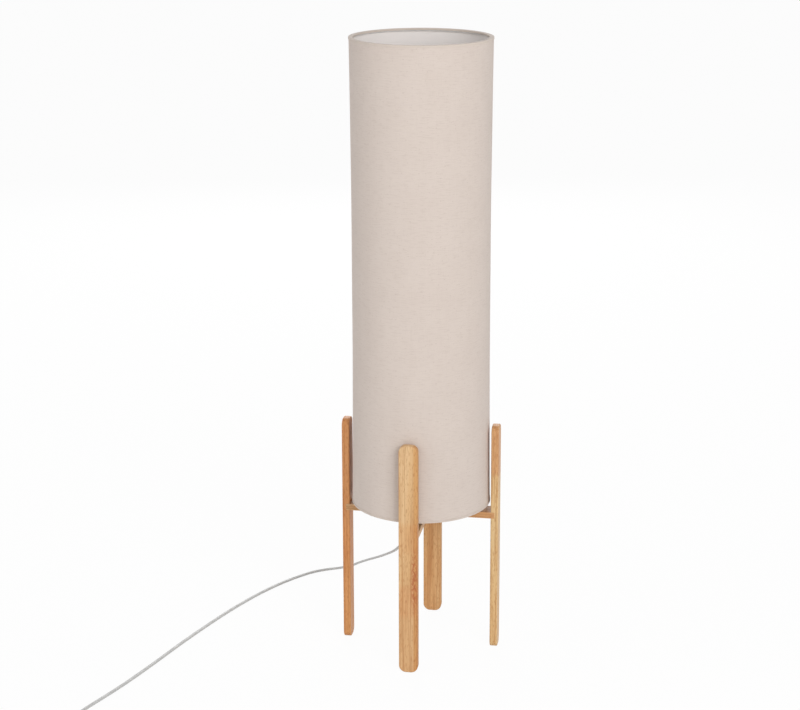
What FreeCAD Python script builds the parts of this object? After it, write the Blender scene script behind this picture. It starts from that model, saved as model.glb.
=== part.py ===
import FreeCAD, Part
import math
import os

import Sketcher

# Column floor lamp: a tall drum shade above a half-lapped wooden cross, carried by four flat legs.
# Millimetres, +Z up, floor at Z = 0, lamp axis on Z, front leg towards -Y.

V = FreeCAD.Vector
UP = V(0, 0, 1)
ORIGIN = V(0, 0, 0)

SIZES = {
    # wooden stand
    "leg_width": 30.0,
    "leg_thickness": 12.0,
    "leg_height": 375.0,
    "leg_gap": 4.2,
    "leg_end_round": 11.0,
    "leg_edge_round": 1.8,
    "bar_width": 30.0,
    "bar_thickness": 10.0,
    "bar_top": 232.5,
    "housing_depth": 6.0,
    "joint_clearance": 0.05,
    "dowel_diameter": 5.0,
    "dowel_length": 22.0,
    "dowel_into_leg": 3.5,
    "dowel_spacing": 14.0,
    # drum shade
    "shade_radius": 110.0,
    "shade_height": 740.0,
    "shade_gap": 12.5,
    "shade_waist": 2.2,
    "fabric_thickness": 0.8,
    "liner_thickness": 0.8,
    "glue_gap": 0.05,
    "seam_width": 14.0,
    "ring_wire": 4.0,
    "ring_gap": 0.15,
    "hem_thickness": 0.6,
    "hem_outer_height": 2.5,
    "hem_inner_height": 9.0,
    "arm_wire": 3.4,
    "arm_end_gap": 0.05,
    "arm_slit": 0.3,
    "fitter_radius": 30.5,
    "fitter_thickness": 1.8,
    # lampholder
    "plate_radius": 24.0,
    "plate_thickness": 1.5,
    "plate_screw_offset": 17.5,
    "plate_screw_head": 2.8,
    "plate_screw_shank": 1.4,
    "plate_screw_length": 7.5,
    "nipple_diameter": 10.0,
    "nipple_bore": 7.8,
    "nipple_top": 243.5,
    "nipple_bottom": 214.5,
    "thread_clearance": 0.05,
    "nut_across": 14.0,
    "nut_height": 2.6,
    "washer_radius": 11.0,
    "washer_thickness": 1.0,
    "base_radius": 20.0,
    "base_height": 28.0,
    "base_wall": 1.8,
    "base_foot_radius": 9.0,
    "shell_height": 26.0,
    "shell_wall": 2.2,
    "flange_radius": 23.5,
    "flange_height": 2.5,
    "spigot_height": 6.0,
    "clamp_radius": 27.0,
    "clamp_height": 8.7,
    "insert_height": 8.0,
    "insert_gap": 0.2,
    "sleeve_radius": 13.2,
    "sleeve_wall": 0.5,
    "sleeve_height": 25.0,
    "contact_height": 3.0,
    "contact_width": 6.0,
    "contact_length": 16.0,
    "strip_thickness": 0.5,
    "terminal_width": 5.0,
    "terminal_length": 6.0,
    "terminal_height": 4.0,
    "terminal_offset": 11.5,
    "terminal_screw": 3.0,
    # bulb
    "bulb_fit": 0.05,
    "thread_pitch": 3.629,
    "thread_depth": 0.85,
    "tip_radius": 4.8,
    "tip_height": 1.2,
    "insulator_height": 3.3,
    "cap_height": 20.5,
    "bulb_neck_radius": 15.0,
    "bulb_radius": 30.0,
    "housing_height": 39.0,
    "bulb_wall": 1.2,
    "globe_height": 40.0,
    "board_thickness": 1.6,
    # cord and what is on it
    "cord_width": 5.8,
    "cord_thickness": 3.6,
    "grip_radius": 7.5,
    "grip_height": 14.5,
    "grip_slope": 7.5,
    "outlet_heading": 124.6,
    "relief_length": 20.0,
    "relief_base": 5.0,
    "relief_tip": 3.7,
    "entry_height": 3.9,
    "switch_entry": 5.2,
    "switch_x": -480.2,
    "switch_y": -419.1,
    "switch_turn": 255.0,
    "switch_length": 70.0,
    "switch_width": 38.0,
    "switch_split": 8.0,
    "switch_height": 20.0,
    "switch_wall": 2.2,
    "switch_round": 9.0,
    "button_radius": 13.0,
    "button_fit": 0.06,
    "button_proud": 5.0,
    "button_flange": 1.5,
    "spring_radius": 5.0,
    "spring_wire": 0.9,
    "spring_turns": 5.0,
    "switch_screw_head": 3.2,
    "switch_screw_shank": 1.4,
    "switch_screw_offset": 25.0,
    "plug_length": 36.0,
    "plug_width": 26.0,
    "plug_height": 14.0,
    "plug_nose": 35.0,
    "plug_axis": 7.3,
    "pin_diameter": 4.0,
    "pin_length": 19.0,
    "pin_spacing": 18.6,
    "pin_sleeve": 10.0,
    "pin_sleeve_wall": 0.25,
    "pin_root": 8.0,
    "pin_root_diameter": 3.0,
    "coil_x": -420.0,
    "coil_y": -510.4,
    "coil_radius": 36.0,
    "coil_pitch": 4.4,
    "coil_rise": 6.3,
    "coil_half_turns": 4,
    "coil_to_plug": 54.0,
    "tie_width": 12.0,
    "tie_thickness": 0.8,
    "tie_gap": 0.1,
}

# The cord's route in the air and on the floor, in millimetres, between the two ends that the parts set.
RUN_POINTS = (
    (-24.64, 35.72, 171.11),
    (-39.7, 57.6, 142.0),
    (-56.8, 82.3, 118.0),
    (-76.1, 110.3, 99.0),
    (-97.1, 140.8, 79.6),
    (-119.2, 172.9, 60.6),
    (-141.9, 205.8, 40.4),
    (-162.5, 233.0, 21.0),
    (-188.0, 249.5, 8.0),
    (-213.0, 252.0, 2.6),
    (-236.0, 237.0, 2.0),
    (-258.5, 209.0, 2.0),
    (-282.0, 174.0, 2.0),
    (-307.5, 125.0, 2.0),
    (-334.0, 61.0, 2.0),
    (-357.5, -7.0, 2.0),
    (-382.0, -86.0, 2.0),
    (-404.0, -166.0, 2.0),
    (-427.0, -243.0, 2.2),
    (-447.0, -303.0, 3.6),
    (-459.0, -340.0, 5.2),
)
LEAD_POINTS = (
    (-501.9, -500.1, 5.2),
    (-491.7, -528.9, 4.2),
    (-466.6, -546.4, 3.9),
)
LEG_TURNS = {"front": -90.0, "right": 0.0, "back": 90.0, "left": 180.0}


class Size:
    """A number of millimetres together with the sheet formula that gives it."""

    def __init__(self, value, formula):
        self.value = float(value)
        self.formula = formula

    def _with(self, other, sign, value):
        text = other.formula if isinstance(other, Size) else repr(float(other))
        return Size(value, "(%s %s %s)" % (self.formula, sign, text))

    def __add__(self, other):
        return self._with(other, "+", self.value + number(other))

    def __sub__(self, other):
        return self._with(other, "-", self.value - number(other))

    def __mul__(self, other):
        return self._with(other, "*", self.value * number(other))

    def __truediv__(self, other):
        return self._with(other, "/", self.value / number(other))

    def __neg__(self):
        return self * -1.0


def number(value):
    return value.value if isinstance(value, Size) else float(value)


class Sheet:
    """The driving sizes, one named cell each."""

    def __init__(self, document, sizes):
        self.sheet = document.addObject("Spreadsheet::Sheet", "Sizes")
        for row, (name, value) in enumerate(sizes.items(), start=1):
            self.sheet.set("A%d" % row, name)
            self.sheet.set("B%d" % row, str(value))
            self.sheet.setAlias("B%d" % row, name)
        document.recompute()

    def __getattr__(self, name):
        return Size(self.sheet.get(name), "Sizes." + name)


doc = FreeCAD.newDocument("ColumnFloorLamp")
d = Sheet(doc, SIZES)

# Heights and radii that several parts share.
bar_bottom = d.bar_top - d.bar_thickness
leg_inner = d.shade_radius + d.leg_gap
leg_outer = leg_inner + d.leg_thickness
bar_end = leg_inner + d.housing_depth
shade_bottom = d.bar_top + d.shade_gap
shade_top = shade_bottom + d.shade_height
liner_radius = d.shade_radius - d.fabric_thickness - d.glue_gap
liner_inner = liner_radius - d.liner_thickness
ring_radius = liner_inner - d.ring_gap - d.ring_wire / 2
plate_top = d.bar_top + d.plate_thickness
base_top = plate_top + d.base_height
flange_top = base_top + d.flange_height
fitter_top = flange_top + d.fitter_thickness
shell_top = base_top + d.shell_height
shell_radius = d.base_radius - d.base_wall + d.shell_wall - 0.8
shell_bore = shell_radius - d.shell_wall
insert_bottom = base_top - d.spigot_height - d.insert_height
insert_top = insert_bottom + d.insert_height
tip_bottom = insert_top + d.contact_height
grip_top = bar_bottom - d.washer_thickness
grip_bottom = grip_top - d.grip_height
second_layer = d.entry_height + d.coil_rise


def origin_plane(body, role):
    return [f for f in body.Origin.OriginFeatures if f.Role == role][0]


def new_body(name):
    body = doc.addObject("PartDesign::Body", name)
    body.Label = name
    return body


def bind(feature, **sizes):
    """Sets each property of the feature from a size, with its formula where it has one."""
    for name, size in sizes.items():
        path = name.replace("_at_", "Placement.Base.")
        if isinstance(size, Size):
            feature.setExpression(path, size.formula)
        elif path == name:
            setattr(feature, name, size)
        else:
            setattr(feature.Placement.Base, path[-1], size)


def fix_point(sketch, curve, end, point):
    """Ties one end of a curve to its place from the sketch's origin."""
    for kind, axis, size in (("DistanceX", -2, point[0]), ("DistanceY", -1, point[1])):
        if not isinstance(size, Size) and size == 0:
            sketch.addConstraint(Sketcher.Constraint("PointOnObject", curve, end, axis))
            continue
        index = sketch.addConstraint(Sketcher.Constraint(kind, curve, end, number(size)))
        if isinstance(size, Size):
            sketch.setExpression("Constraints[%d]" % index, size.formula)


def add_outline(body, name, plane, points, arcs=None, height=None):
    """A closed outline through points; arcs maps an edge's index to its radius and side.

    The side is 1 where the arc's centre is left of the edge's direction and -1 where it is right.
    """
    arcs = arcs or {}
    sketch = body.newObject("Sketcher::SketchObject", name)
    sketch.AttachmentSupport = (origin_plane(body, plane), [""])
    sketch.MapMode = "FlatFace"
    if height is not None:
        sketch.setExpression("AttachmentOffset.Base.z", height.formula)
    flat = [V(number(x), number(y), 0) for x, y in points]
    ends = []
    for index, start in enumerate(flat):
        stop = flat[(index + 1) % len(flat)]
        if index not in arcs:
            sketch.addGeometry(Part.LineSegment(start, stop), False)
            ends.append((1, 2))
            continue
        radius, side = arcs[index]
        chord = stop - start
        left = V(-chord.y, chord.x, 0).normalize()
        reach = math.sqrt(max(number(radius) ** 2 - chord.Length ** 2 / 4, 0))
        centre = (start + stop) * 0.5 + left * (reach * side)
        first, last = (start, stop) if side > 0 else (stop, start)
        angles = [math.atan2(p.y - centre.y, p.x - centre.x) for p in (first, last)]
        circle = Part.Circle(centre, UP, number(radius))
        sketch.addGeometry(Part.ArcOfCircle(circle, angles[0], angles[1]), False)
        ends.append((1, 2) if side > 0 else (2, 1))
    for index, point in enumerate(points):
        before = index - 1 if index else len(points) - 1
        sketch.addConstraint(
            Sketcher.Constraint("Coincident", before, ends[before][1], index, ends[index][0])
        )
        fix_point(sketch, index, ends[index][0], point)
    for index, (radius, _) in arcs.items():
        tie = sketch.addConstraint(Sketcher.Constraint("Radius", index, number(radius)))
        if isinstance(radius, Size):
            sketch.setExpression("Constraints[%d]" % tie, radius.formula)
    return sketch


def revolved(name, points, arcs=None):
    """A body turned about the lamp's axis from an outline of radius and height."""
    body = new_body(name)
    sketch = add_outline(body, name + "_outline", "XZ_Plane", points, arcs)
    turn = body.newObject("PartDesign::Revolution", name + "_turn")
    turn.Profile = sketch
    turn.ReferenceAxis = (sketch, ["V_Axis"])
    turn.Angle = 360.0
    return body


def padded(body, name, plane, points, length, arcs=None, height=None):
    """Pads an outline along its plane's normal."""
    sketch = add_outline(body, name + "_outline", plane, points, arcs, height)
    pad = body.newObject("PartDesign::Pad", name)
    pad.Profile = sketch
    bind(pad, Length=length)
    return pad


def cut_box(body, name, length, width, height, corner):
    """Takes a box out of the body, its lowest corner given."""
    box = body.newObject("PartDesign::SubtractiveBox", name)
    bind(box, Length=length, Width=width, Height=height)
    bind(box, _at_x=corner[0], _at_y=corner[1], _at_z=corner[2])
    return box


def cut_hole(body, name, radius, depth, start, direction=UP):
    """Takes a round hole out of the body."""
    hole = body.newObject("PartDesign::SubtractiveCylinder", name)
    hole.Placement = FreeCAD.Placement(ORIGIN, FreeCAD.Rotation(UP, direction))
    bind(hole, Radius=radius, Height=depth)
    bind(hole, _at_x=start[0], _at_y=start[1], _at_z=start[2])
    return hole


def cylinder(name, radius, height, start, direction=UP):
    piece = doc.addObject("Part::Cylinder", name)
    piece.Placement = FreeCAD.Placement(ORIGIN, FreeCAD.Rotation(UP, direction))
    bind(piece, Radius=radius, Height=height)
    bind(piece, _at_x=start[0], _at_y=start[1], _at_z=start[2])
    return piece


def box(name, length, width, height, corner):
    piece = doc.addObject("Part::Box", name)
    bind(piece, Length=length, Width=width, Height=height)
    bind(piece, _at_x=corner[0], _at_y=corner[1], _at_z=corner[2])
    return piece


def joined(name, kind, pieces):
    """A fuse or compound of several pieces under one name."""
    whole = doc.addObject(kind, name)
    whole.Label = name
    if kind == "Part::Compound":
        whole.Links = pieces
    else:
        whole.Shapes = pieces
    return whole


def cut(name, base, tool):
    whole = doc.addObject("Part::Cut", name)
    whole.Label = name
    whole.Base = base
    whole.Tool = tool
    return whole


# ---------------------------------------------------------------- wooden stand


def rounded_rectangle(half_width, low, high, radius):
    """Corner points and arcs of an upright rectangle with rounded corners."""
    points = (
        (-half_width, low + radius),
        (-half_width + radius, low),
        (half_width - radius, low),
        (half_width, low + radius),
        (half_width, high - radius),
        (half_width - radius, high),
        (-half_width + radius, high),
        (-half_width, high - radius),
    )
    return points, {0: (radius, 1), 2: (radius, 1), 4: (radius, 1), 6: (radius, 1)}


def make_leg(side, turn):
    """A flat upright with rounded ends, housed across its inner face for the bar's end."""
    body = new_body("leg_" + side)
    floor = Size(0.0, "0.0")
    points, arcs = rounded_rectangle(d.leg_width / 2, floor, d.leg_height, d.leg_end_round)
    plank = padded(
        body, "plank_" + side, "YZ_Plane", points, d.leg_thickness, arcs, leg_inner
    )
    doc.recompute()
    faces = (leg_inner.value, leg_outer.value)
    rims = [
        "Edge%d" % (index + 1)
        for index, edge in enumerate(plank.Shape.Edges)
        if any(all(abs(v.X - face) < 1e-4 for v in edge.Vertexes) for face in faces)
    ]
    rounding = body.newObject("PartDesign::Fillet", "eased_" + side)
    rounding.Base = (plank, rims)
    bind(rounding, Radius=d.leg_edge_round)
    cut_box(
        body,
        "housing_" + side,
        d.housing_depth + 5.0,
        d.leg_width + 10.0,
        d.bar_thickness,
        (leg_inner - 5.0, -d.leg_width / 2 - 5.0, bar_bottom),
    )
    for number_, place in enumerate((-d.dowel_spacing / 2, d.dowel_spacing / 2)):
        cut_hole(
            body,
            "socket_%s_%d" % (side, number_),
            d.dowel_diameter / 2 + d.glue_gap,
            d.dowel_into_leg,
            (bar_end, place, d.bar_top - d.bar_thickness / 2),
            V(1, 0, 0),
        )
    body.Placement = FreeCAD.Placement(ORIGIN, FreeCAD.Rotation(UP, turn))
    return body


def make_bar(name, lap_low, turn):
    """One arm pair of the cross, half-lapped at the middle and bored for the nipple and dowels."""
    body = new_body(name)
    plank = body.newObject("PartDesign::AdditiveBox", name + "_plank")
    length = bar_end * 2.0
    bind(plank, Length=length, Width=d.bar_width, Height=d.bar_thickness)
    bind(plank, _at_x=-bar_end, _at_y=-d.bar_width / 2, _at_z=bar_bottom)
    lap = d.bar_width + d.joint_clearance * 2.0
    cut_box(body, name + "_lap", lap, d.bar_width + 4.0, d.bar_thickness / 2,
            (-lap / 2, -d.bar_width / 2 - 2.0, lap_low))
    cut_hole(body, name + "_bore", d.nipple_diameter / 2 + d.thread_clearance, d.bar_thickness,
             (0.0, 0.0, bar_bottom))
    depth = d.dowel_length - d.dowel_into_leg
    for end in (1, -1):
        for number_, place in enumerate((-d.dowel_spacing / 2, d.dowel_spacing / 2)):
            cut_hole(body, "%s_socket_%d_%d" % (name, end + 1, number_),
                     d.dowel_diameter / 2 + d.glue_gap, depth,
                     ((bar_end - depth) * end, place, d.bar_top - d.bar_thickness / 2), V(end, 0, 0))
    if not turn:
        for end in (1, -1):
            cut_hole(body, "%s_pilot_%d" % (name, end + 1), d.plate_screw_shank, d.plate_screw_length,
                     (d.plate_screw_offset * end, 0.0, d.bar_top - d.plate_screw_length))
    body.Placement = FreeCAD.Placement(ORIGIN, FreeCAD.Rotation(UP, turn))
    return body


def make_dowels():
    """Two dowels in each of the four leg joints."""
    pieces = []
    start = bar_end + d.dowel_into_leg - d.dowel_length
    for side, turn in LEG_TURNS.items():
        for number_, place in enumerate((-d.dowel_spacing / 2, d.dowel_spacing / 2)):
            dowel = doc.addObject("Part::Cylinder", "dowel_%s_%d" % (side, number_))
            bind(dowel, Radius=d.dowel_diameter / 2, Height=d.dowel_length)
            spin = FreeCAD.Rotation(UP, turn)
            at = V(start.value, place.value, d.bar_top.value - d.bar_thickness.value / 2)
            dowel.Placement = FreeCAD.Placement(
                spin.multVec(at), spin.multiply(FreeCAD.Rotation(UP, V(1, 0, 0)))
            )
            pieces.append(dowel)
    return joined("leg_dowels", "Part::Compound", pieces)


# ---------------------------------------------------------------- drum shade


def waisted_tube(name, outer, thickness, low, high):
    """A tube drawn in slightly at half height."""
    rise = high - low
    bow = (rise * rise / 4 + d.shade_waist * d.shade_waist) / (d.shade_waist * 2.0)
    points = (
        (outer - thickness, low),
        (outer, low),
        (outer, high),
        (outer - thickness, high),
    )
    return revolved(name, points, {1: (bow, -1), 3: (bow, 1)})


def make_seam():
    """The fabric's glued overlap down the back, a strip of the same curve outside the drum."""
    margin = d.hem_outer_height + 0.5
    body = waisted_tube("shade_seam", d.shade_radius + d.fabric_thickness,
                        d.fabric_thickness - d.glue_gap, shade_bottom + margin, shade_top - margin)
    turn = body.Tip
    width = d.seam_width / d.shade_radius * (180.0 / math.pi)
    bind(turn, Angle=width)
    body.Placement = FreeCAD.Placement(ORIGIN, FreeCAD.Rotation(UP, 90.0 - width.value / 2))
    return body


def make_hem(name, edge, inward):
    """The folded edge tape over the shade's end; inward is 1 at the bottom end and -1 at the top."""
    outer = d.shade_radius + d.glue_gap + d.hem_thickness
    inner = ring_radius - d.ring_wire / 2 - d.ring_gap
    low = edge - d.hem_thickness * inward
    points = (
        (d.shade_radius + d.glue_gap, edge),
        (d.shade_radius + d.glue_gap, edge + d.hem_outer_height * inward),
        (outer, edge + d.hem_outer_height * inward),
        (outer, low),
        (inner - d.hem_thickness, low),
        (inner - d.hem_thickness, edge + d.hem_inner_height * inward),
        (inner, edge + d.hem_inner_height * inward),
        (inner, edge),
    )
    return revolved(name, points)


def make_ring(name, height):
    ring = doc.addObject("Part::Torus", name)
    ring.Label = name
    bind(ring, Radius1=ring_radius, Radius2=d.ring_wire / 2, _at_z=height)
    return ring


def spider_wires(name, radius):
    """Three straight wires from the bottom ring up to the fitter's edge."""
    wires = []
    rise = fitter_top - d.fitter_thickness / 2 - (shade_bottom + d.ring_wire / 2)
    reach = ring_radius - d.fitter_radius + 1.5
    length = math.hypot(rise.value, reach.value)
    for index in range(3):
        angle = math.radians(30.0 + 120.0 * index)
        out = V(math.cos(angle), math.sin(angle), 0)
        start = out * ring_radius.value + UP * (shade_bottom.value + d.ring_wire.value / 2)
        end = out * (ring_radius.value - reach.value) + UP * (start.z + rise.value)
        wire = doc.addObject("Part::Cylinder", "%s_%d" % (name, index))
        bind(wire, Radius=radius)
        wire.Height = length
        wire.Placement = FreeCAD.Placement(start, FreeCAD.Rotation(UP, end - start))
        wires.append(wire)
    return wires


def make_bottom_hem():
    """The bottom hem, slit where the spider's wires pass through its inner turn."""
    tape = make_hem("bottom_hem_tape", shade_bottom, 1.0)
    slits = joined("hem_slits", "Part::MultiFuse", spider_wires("slit", d.arm_wire / 2 + d.arm_slit))
    return cut("shade_bottom_hem", tape, slits)


def make_spider():
    """Three wire arms from the bottom ring up to the fitter that sits on the holder's flange."""
    disc = cylinder("fitter_disc", d.fitter_radius, d.fitter_thickness, (0.0, 0.0, flange_top))
    welded = joined("spider_weld", "Part::MultiFuse", [disc] + spider_wires("arm", d.arm_wire / 2))
    middle = cylinder("fitter_hole", shell_radius + 0.3, d.fitter_thickness + 8.0,
                      (0.0, 0.0, flange_top - 4.0))
    opened = cut("spider_open", welded, middle)
    keep = doc.addObject("Part::Torus", "ring_clearance")
    bind(keep, Radius1=ring_radius, Radius2=d.ring_wire / 2 + d.arm_end_gap,
         _at_z=shade_bottom + d.ring_wire / 2)
    return cut("shade_spider", opened, keep)


# ---------------------------------------------------------------- lampholder


def make_plate():
    plate = revolved("holder_plate", (
        (d.nipple_diameter / 2 + d.thread_clearance, d.bar_top),
        (d.plate_radius, d.bar_top),
        (d.plate_radius, plate_top),
        (d.nipple_diameter / 2 + d.thread_clearance, plate_top),
    ))
    for end in (1, -1):
        cut_hole(plate, "plate_hole_%d" % (end + 1), d.plate_screw_shank, d.plate_thickness,
                 (d.plate_screw_offset * end, 0.0, d.bar_top))
    return plate


def make_plate_screws():
    """Two pan-headed wood screws through the plate into the cross."""
    pieces = []
    for end in (1, -1):
        at = d.plate_screw_offset * end
        shank = cylinder("plate_shank_%d" % (end + 1), d.plate_screw_shank,
                         d.plate_screw_length + d.plate_thickness,
                         (at, 0.0, d.bar_top - d.plate_screw_length))
        head = cylinder("plate_head_%d" % (end + 1), d.plate_screw_head, Size(1.4, "1.4"),
                        (at, 0.0, plate_top))
        screw = joined("plate_screw_%d" % (end + 1), "Part::MultiFuse", [shank, head])
        slot = box("plate_slot_%d" % (end + 1), Size(6.0, "6.0"), Size(0.7, "0.7"), Size(0.8, "0.8"),
                   (at - 3.0, -0.35, plate_top + 0.8))
        pieces.append(cut("plate_slotted_%d" % (end + 1), screw, slot))
    return joined("plate_screws", "Part::Compound", pieces)


def ring_profile(inner, outer, low, high):
    return ((inner, low), (outer, low), (outer, high), (inner, high))


def make_hex_nut(name, low):
    """A thin hexagon nut on the nipple."""
    nut = doc.addObject("Part::Prism", name + "_blank")
    nut.Polygon = 6
    bind(nut, Circumradius=d.nut_across / math.sqrt(3.0), Height=d.nut_height, _at_z=low)
    bore = cylinder(name + "_bore", d.nipple_diameter / 2 + d.thread_clearance, d.nut_height + 2.0,
                    (0.0, 0.0, low - 1.0))
    return cut(name, nut, bore)


def make_holder_base():
    """The cup that stands on the plate and takes the nipple through its floor."""
    bore = d.nipple_diameter / 2 + d.thread_clearance
    inner = d.base_radius - d.base_wall
    return revolved("holder_base", (
        (bore, plate_top),
        (d.base_foot_radius, plate_top),
        (d.base_foot_radius, plate_top + 2.6),
        (d.base_radius - 3.0, plate_top + 5.0),
        (d.base_radius, plate_top + 10.5),
        (d.base_radius, base_top),
        (inner, base_top),
        (inner, plate_top + 11.4),
        (inner - 3.0, plate_top + 7.0),
        (d.nut_across * 0.64, plate_top + 5.0),
        (bore, plate_top + 5.0),
    ))


def make_holder_shell():
    """The threaded skirt with the flange that the shade's fitter rests on."""
    spigot = d.base_radius - d.base_wall - d.thread_clearance
    return revolved("holder_shell", (
        (shell_bore, base_top - d.spigot_height),
        (spigot, base_top - d.spigot_height),
        (spigot, base_top),
        (d.flange_radius, base_top),
        (d.flange_radius, flange_top),
        (shell_radius, flange_top),
        (shell_radius, shell_top),
        (shell_bore - 1.2, shell_top),
        (shell_bore - 1.2, shell_top - 2.0),
        (shell_bore, shell_top - 3.2),
    ))


def make_clamp_ring():
    inner = shell_radius + 0.05
    return revolved("shade_clamp_ring", (
        (inner, fitter_top),
        (d.clamp_radius, fitter_top),
        (d.clamp_radius, fitter_top + 2.0),
        (d.clamp_radius - 3.0, fitter_top + d.clamp_height),
        (inner, fitter_top + d.clamp_height),
    ))


def make_insert():
    """The insulating block that holds the screw sleeve and contacts."""
    radius = shell_bore - d.insert_gap
    lower = d.base_radius - d.base_wall - 1.4
    body = revolved("holder_insert", (
        (0.0, insert_bottom),
        (lower, insert_bottom),
        (lower, insert_top - 1.0),
        (radius, insert_top - 1.0),
        (radius, insert_top),
        (0.0, insert_top),
    ))
    for end in (1, -1):
        cut_hole(body, "insert_hole_%d" % (end + 1), d.terminal_screw / 2, d.insert_height,
                 (d.terminal_offset * end, 0.0, insert_bottom))
    return body


def make_sleeve():
    """The brass screw sleeve, a cup with a hole in its floor for the centre contact."""
    outer = d.sleeve_radius + d.sleeve_wall
    return revolved("screw_sleeve", (
        (d.sleeve_radius - 3.6, insert_top),
        (outer, insert_top),
        (outer, insert_top + d.sleeve_height),
        (d.sleeve_radius, insert_top + d.sleeve_height),
        (d.sleeve_radius, insert_top + d.sleeve_wall),
        (d.sleeve_radius - 3.6, insert_top + d.sleeve_wall),
    ))


def make_centre_contact():
    """A sprung tongue under the bulb's tip, bent down to a foot on the insert."""
    across = -d.contact_width / 2
    tongue = box("contact_tongue", d.contact_length / 2, d.contact_width, d.strip_thickness,
                 (-d.contact_length / 4, across, tip_bottom - d.strip_thickness))
    riser = box("contact_riser", d.strip_thickness, d.contact_width, d.contact_height,
                (-d.contact_length / 4, across, insert_top))
    foot = box("contact_foot", d.contact_length / 4, d.contact_width, d.strip_thickness,
               (-d.contact_length / 4, across, insert_top))
    return joined("centre_contact", "Part::MultiFuse", [tongue, riser, foot])


def make_terminals():
    """Two terminal blocks under the insert, with their screws' bores."""
    pieces = []
    for end in (1, -1):
        middle = d.terminal_offset * end
        corner = (middle - d.terminal_width / 2, -d.terminal_length / 2, insert_bottom - d.terminal_height)
        block = box("terminal_blank_%d" % (end + 1), d.terminal_width, d.terminal_length,
                    d.terminal_height, corner)
        bore = cylinder("terminal_bore_%d" % (end + 1), d.terminal_screw / 2, d.terminal_height + 2.0,
                        (middle, 0.0, insert_bottom - d.terminal_height - 1.0))
        pieces.append(cut("terminal_block_%d" % (end + 1), block, bore))
    return joined("holder_terminals", "Part::Compound", pieces)


def make_terminal_screws():
    pieces = [
        cylinder("terminal_screw_%d" % (end + 1), d.terminal_screw / 2, d.terminal_height + d.insert_height,
                 (d.terminal_offset * end, 0.0, insert_bottom - d.terminal_height))
        for end in (1, -1)
    ]
    return joined("terminal_screws", "Part::Compound", pieces)


# ---------------------------------------------------------------- bulb


def bulb_levels():
    """Heights of the bulb's tip, insulator, cap, housing and globe, from the bottom."""
    levels = [tip_bottom]
    for step in (d.tip_height, d.insulator_height, d.cap_height, d.housing_height, d.globe_height):
        levels.append(levels[-1] + step)
    return levels


def make_bulb():
    """The screw-in bulb: tip, insulator, threaded cap, housing, light board and globe."""
    tip, glass, cap, neck, rim, top = bulb_levels()
    crest = d.sleeve_radius - d.bulb_fit
    root = crest - d.thread_depth
    tip_piece = revolved("bulb_tip", (
        (0.0, tip),
        (d.tip_radius - 1.0, tip),
        (d.tip_radius, glass),
        (0.0, glass),
    ))
    glass_piece = revolved("bulb_insulator", (
        (0.0, glass),
        (d.tip_radius + 0.8, glass),
        (root - 0.8, cap),
        (0.0, cap),
    ))
    outline = [(root - 1.0, cap), (root, cap)]
    turns = int(d.cap_height.value / d.thread_pitch.value)
    margin = (d.cap_height - d.thread_pitch * float(turns)) / 2
    for index in range(turns):
        low = cap + margin + d.thread_pitch * float(index)
        outline += [(root, low), (crest, low + d.thread_pitch * 0.35), (crest, low + d.thread_pitch * 0.65)]
    outline += [(root, cap + margin + d.thread_pitch * float(turns)), (root, neck), (root - 1.0, neck)]
    cap_piece = revolved("bulb_cap", outline)
    outer = d.bulb_radius - 1.0
    housing = revolved("bulb_housing", (
        (0.0, neck),
        (root, neck),
        (d.bulb_neck_radius, neck + 2.0),
        (outer, rim - 6.0),
        (outer, rim),
        (outer - d.bulb_wall, rim),
        (outer - d.bulb_wall, rim - 5.6),
        (d.bulb_neck_radius - 1.6, neck + 3.4),
        (0.0, neck + 3.4),
    ))
    board_low = rim - 1.0 - d.board_thickness
    board = revolved("bulb_board", (
        (0.0, board_low),
        (outer - d.bulb_wall - 0.2, board_low),
        (outer - d.bulb_wall - 0.2, board_low + d.board_thickness),
        (0.0, board_low + d.board_thickness),
    ))
    widest = rim + d.globe_height - d.bulb_radius
    inner = d.bulb_radius - d.bulb_wall
    globe = revolved("bulb_globe", (
        (outer - d.bulb_wall - 0.1, rim),
        (outer, rim),
        (d.bulb_radius, widest),
        (0.0, top),
        (0.0, top - d.bulb_wall),
        (inner, widest),
    ), {2: (d.bulb_radius, 1), 4: (inner, -1)})
    return [tip_piece, glass_piece, cap_piece, housing, board, globe]


# ---------------------------------------------------------------- cord fittings


def outlet_direction():
    """The direction in which the cord leaves the grip: half down, half away under the cross."""
    heading = math.radians(d.outlet_heading.value)
    return V(math.cos(heading), math.sin(heading), -1).normalize()


def outlet_seat():
    """The middle of the grip's sloping face, where the relief stands."""
    aside = d.grip_slope.value / 2
    heading = math.radians(d.outlet_heading.value)
    reach = d.grip_radius.value - aside
    return V(reach * math.cos(heading), reach * math.sin(heading), grip_bottom.value + aside)


def cord_exit():
    """The tip of the lamp's strain relief."""
    return outlet_seat() + outlet_direction() * d.relief_length.value


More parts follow.
